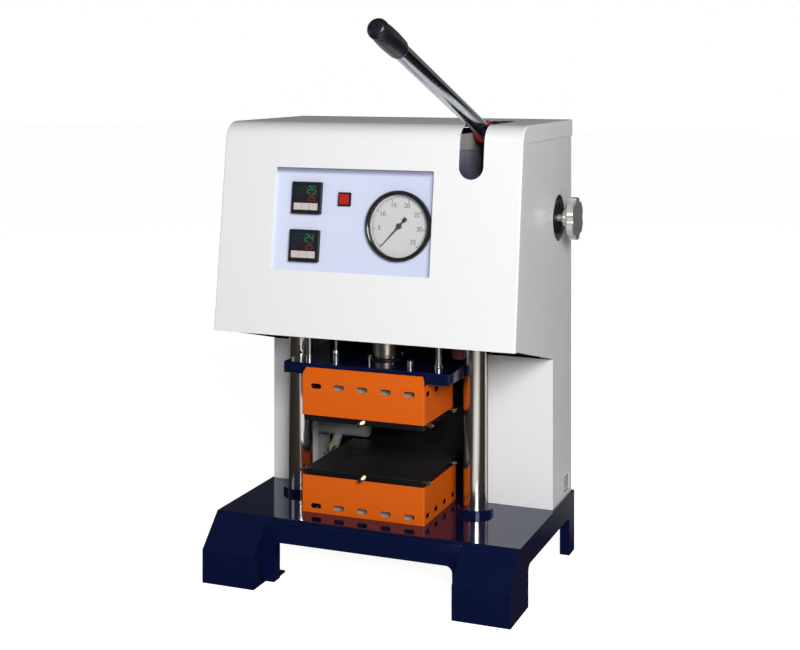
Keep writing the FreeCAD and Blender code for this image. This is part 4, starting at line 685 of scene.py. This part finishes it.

# The edge strip is coloured lighter towards the back: painted light that evens out the shade deeper in the slot
grey_strip, tree, surface = finish_material("grey_strip")
spray(tree, surface, 500.0, 0.1, 0.5, 0.05)
painted_light_along_strip = rescale(tree, axes(tree)["Y"], -0.085, -0.015)
wire(tree, (colour_ramp(tree, painted_light_along_strip, (0.30, 0.275, 0.27), (0.60, 0.57, 0.55)), surface.inputs["Base Color"]))
strip_slope = Matrix(((1, 0, 0, 0), (0, 1, 0, 0), (0, -0.058, 1, 0), (0, 0, 0, 1)))
edge_strip = bmesh.new()
bmesh.ops.create_cube(edge_strip, size=1.0)
bmesh.ops.transform(edge_strip, verts=edge_strip.verts, matrix=Matrix.Translation((0.1429, -0.0515, 0.6622))
                    @ strip_slope @ Matrix.Diagonal((0.0010, 0.0970, 0.0236, 1)))
bmesh.ops.bevel(edge_strip, geom=list(edge_strip.edges), offset=0.0003, offset_type="OFFSET", segments=2,
                profile=0.5, affect="EDGES", material=-1)
finish_piece("slot_edge_strip", edge_strip, grey_strip, "machine")

# A black ring lines the rim of the slot in the roof: painted shade for the dark opening
slot_x, slot_front_y, slot_rear_y, shade_ring_foot = 0.16236, -0.075, 0.04105, 0.6872
slot_shade_ring = bmesh.new()
loop = bmesh.ops.create_circle(slot_shade_ring, segments=64, radius=0.01855)
for vert in loop["verts"]:
    vert.co += Vector((slot_x, slot_rear_y if vert.co.y >= -0.0001 else slot_front_y, shade_ring_foot))
walls = bmesh.ops.extrude_edge_only(slot_shade_ring, edges=slot_shade_ring.edges[:])
bmesh.ops.translate(slot_shade_ring, verts=new_verts(walls), vec=(0, 0, 0.0025))
bmesh.ops.solidify(slot_shade_ring, geom=slot_shade_ring.faces[:], thickness=0.0006)
finish_piece("slot_shade_ring", slot_shade_ring, black_moulding, "machine")


# The hydraulics behind: a sprayed tank on the crosshead, steel pipes, the release valve and its
# chromed knob, whose spindle passes the side panel's hole. A black ring behind the hole is painted shade.
satin_chrome = bright_metal("satin_chrome", (0.70, 0.69, 0.66), 0.22, rings=900.0, depth=0.0, spread=0.01,
                            metallic=0.68)
coat_nodes(navy_enamel, "oil_tank")
coat_nodes(zinc_plate, "hydraulic_pipes")
coat_nodes(machined_steel, "release_valve")
coat_nodes(satin_chrome, "release_knob")
coat_nodes(black_moulding, "power_inlet")
# A black ring behind the side panel's hole, round the spindle: painted shade for the inside of the hole
hole_shade_radius, spindle_radius, hole_shade_thickness = 0.0245, 0.0066, 0.0015
hole_shade_disc = bmesh.new()
for radius in (hole_shade_radius, spindle_radius):
    bmesh.ops.create_circle(hole_shade_disc, segments=64, radius=radius)
bmesh.ops.bridge_loops(hole_shade_disc, edges=list(hole_shade_disc.edges))
far_side = new_verts(bmesh.ops.extrude_face_region(hole_shade_disc, geom=list(hole_shade_disc.faces)))
bmesh.ops.translate(hole_shade_disc, verts=far_side, vec=(0, 0, hole_shade_thickness))
bmesh.ops.transform(hole_shade_disc, matrix=Matrix.Translation((0.2346, 0.0947, 0.539)) @ right_face, verts=hole_shade_disc.verts)
finish_piece("spindle_hole_shade", hole_shade_disc, black_moulding, "machine")
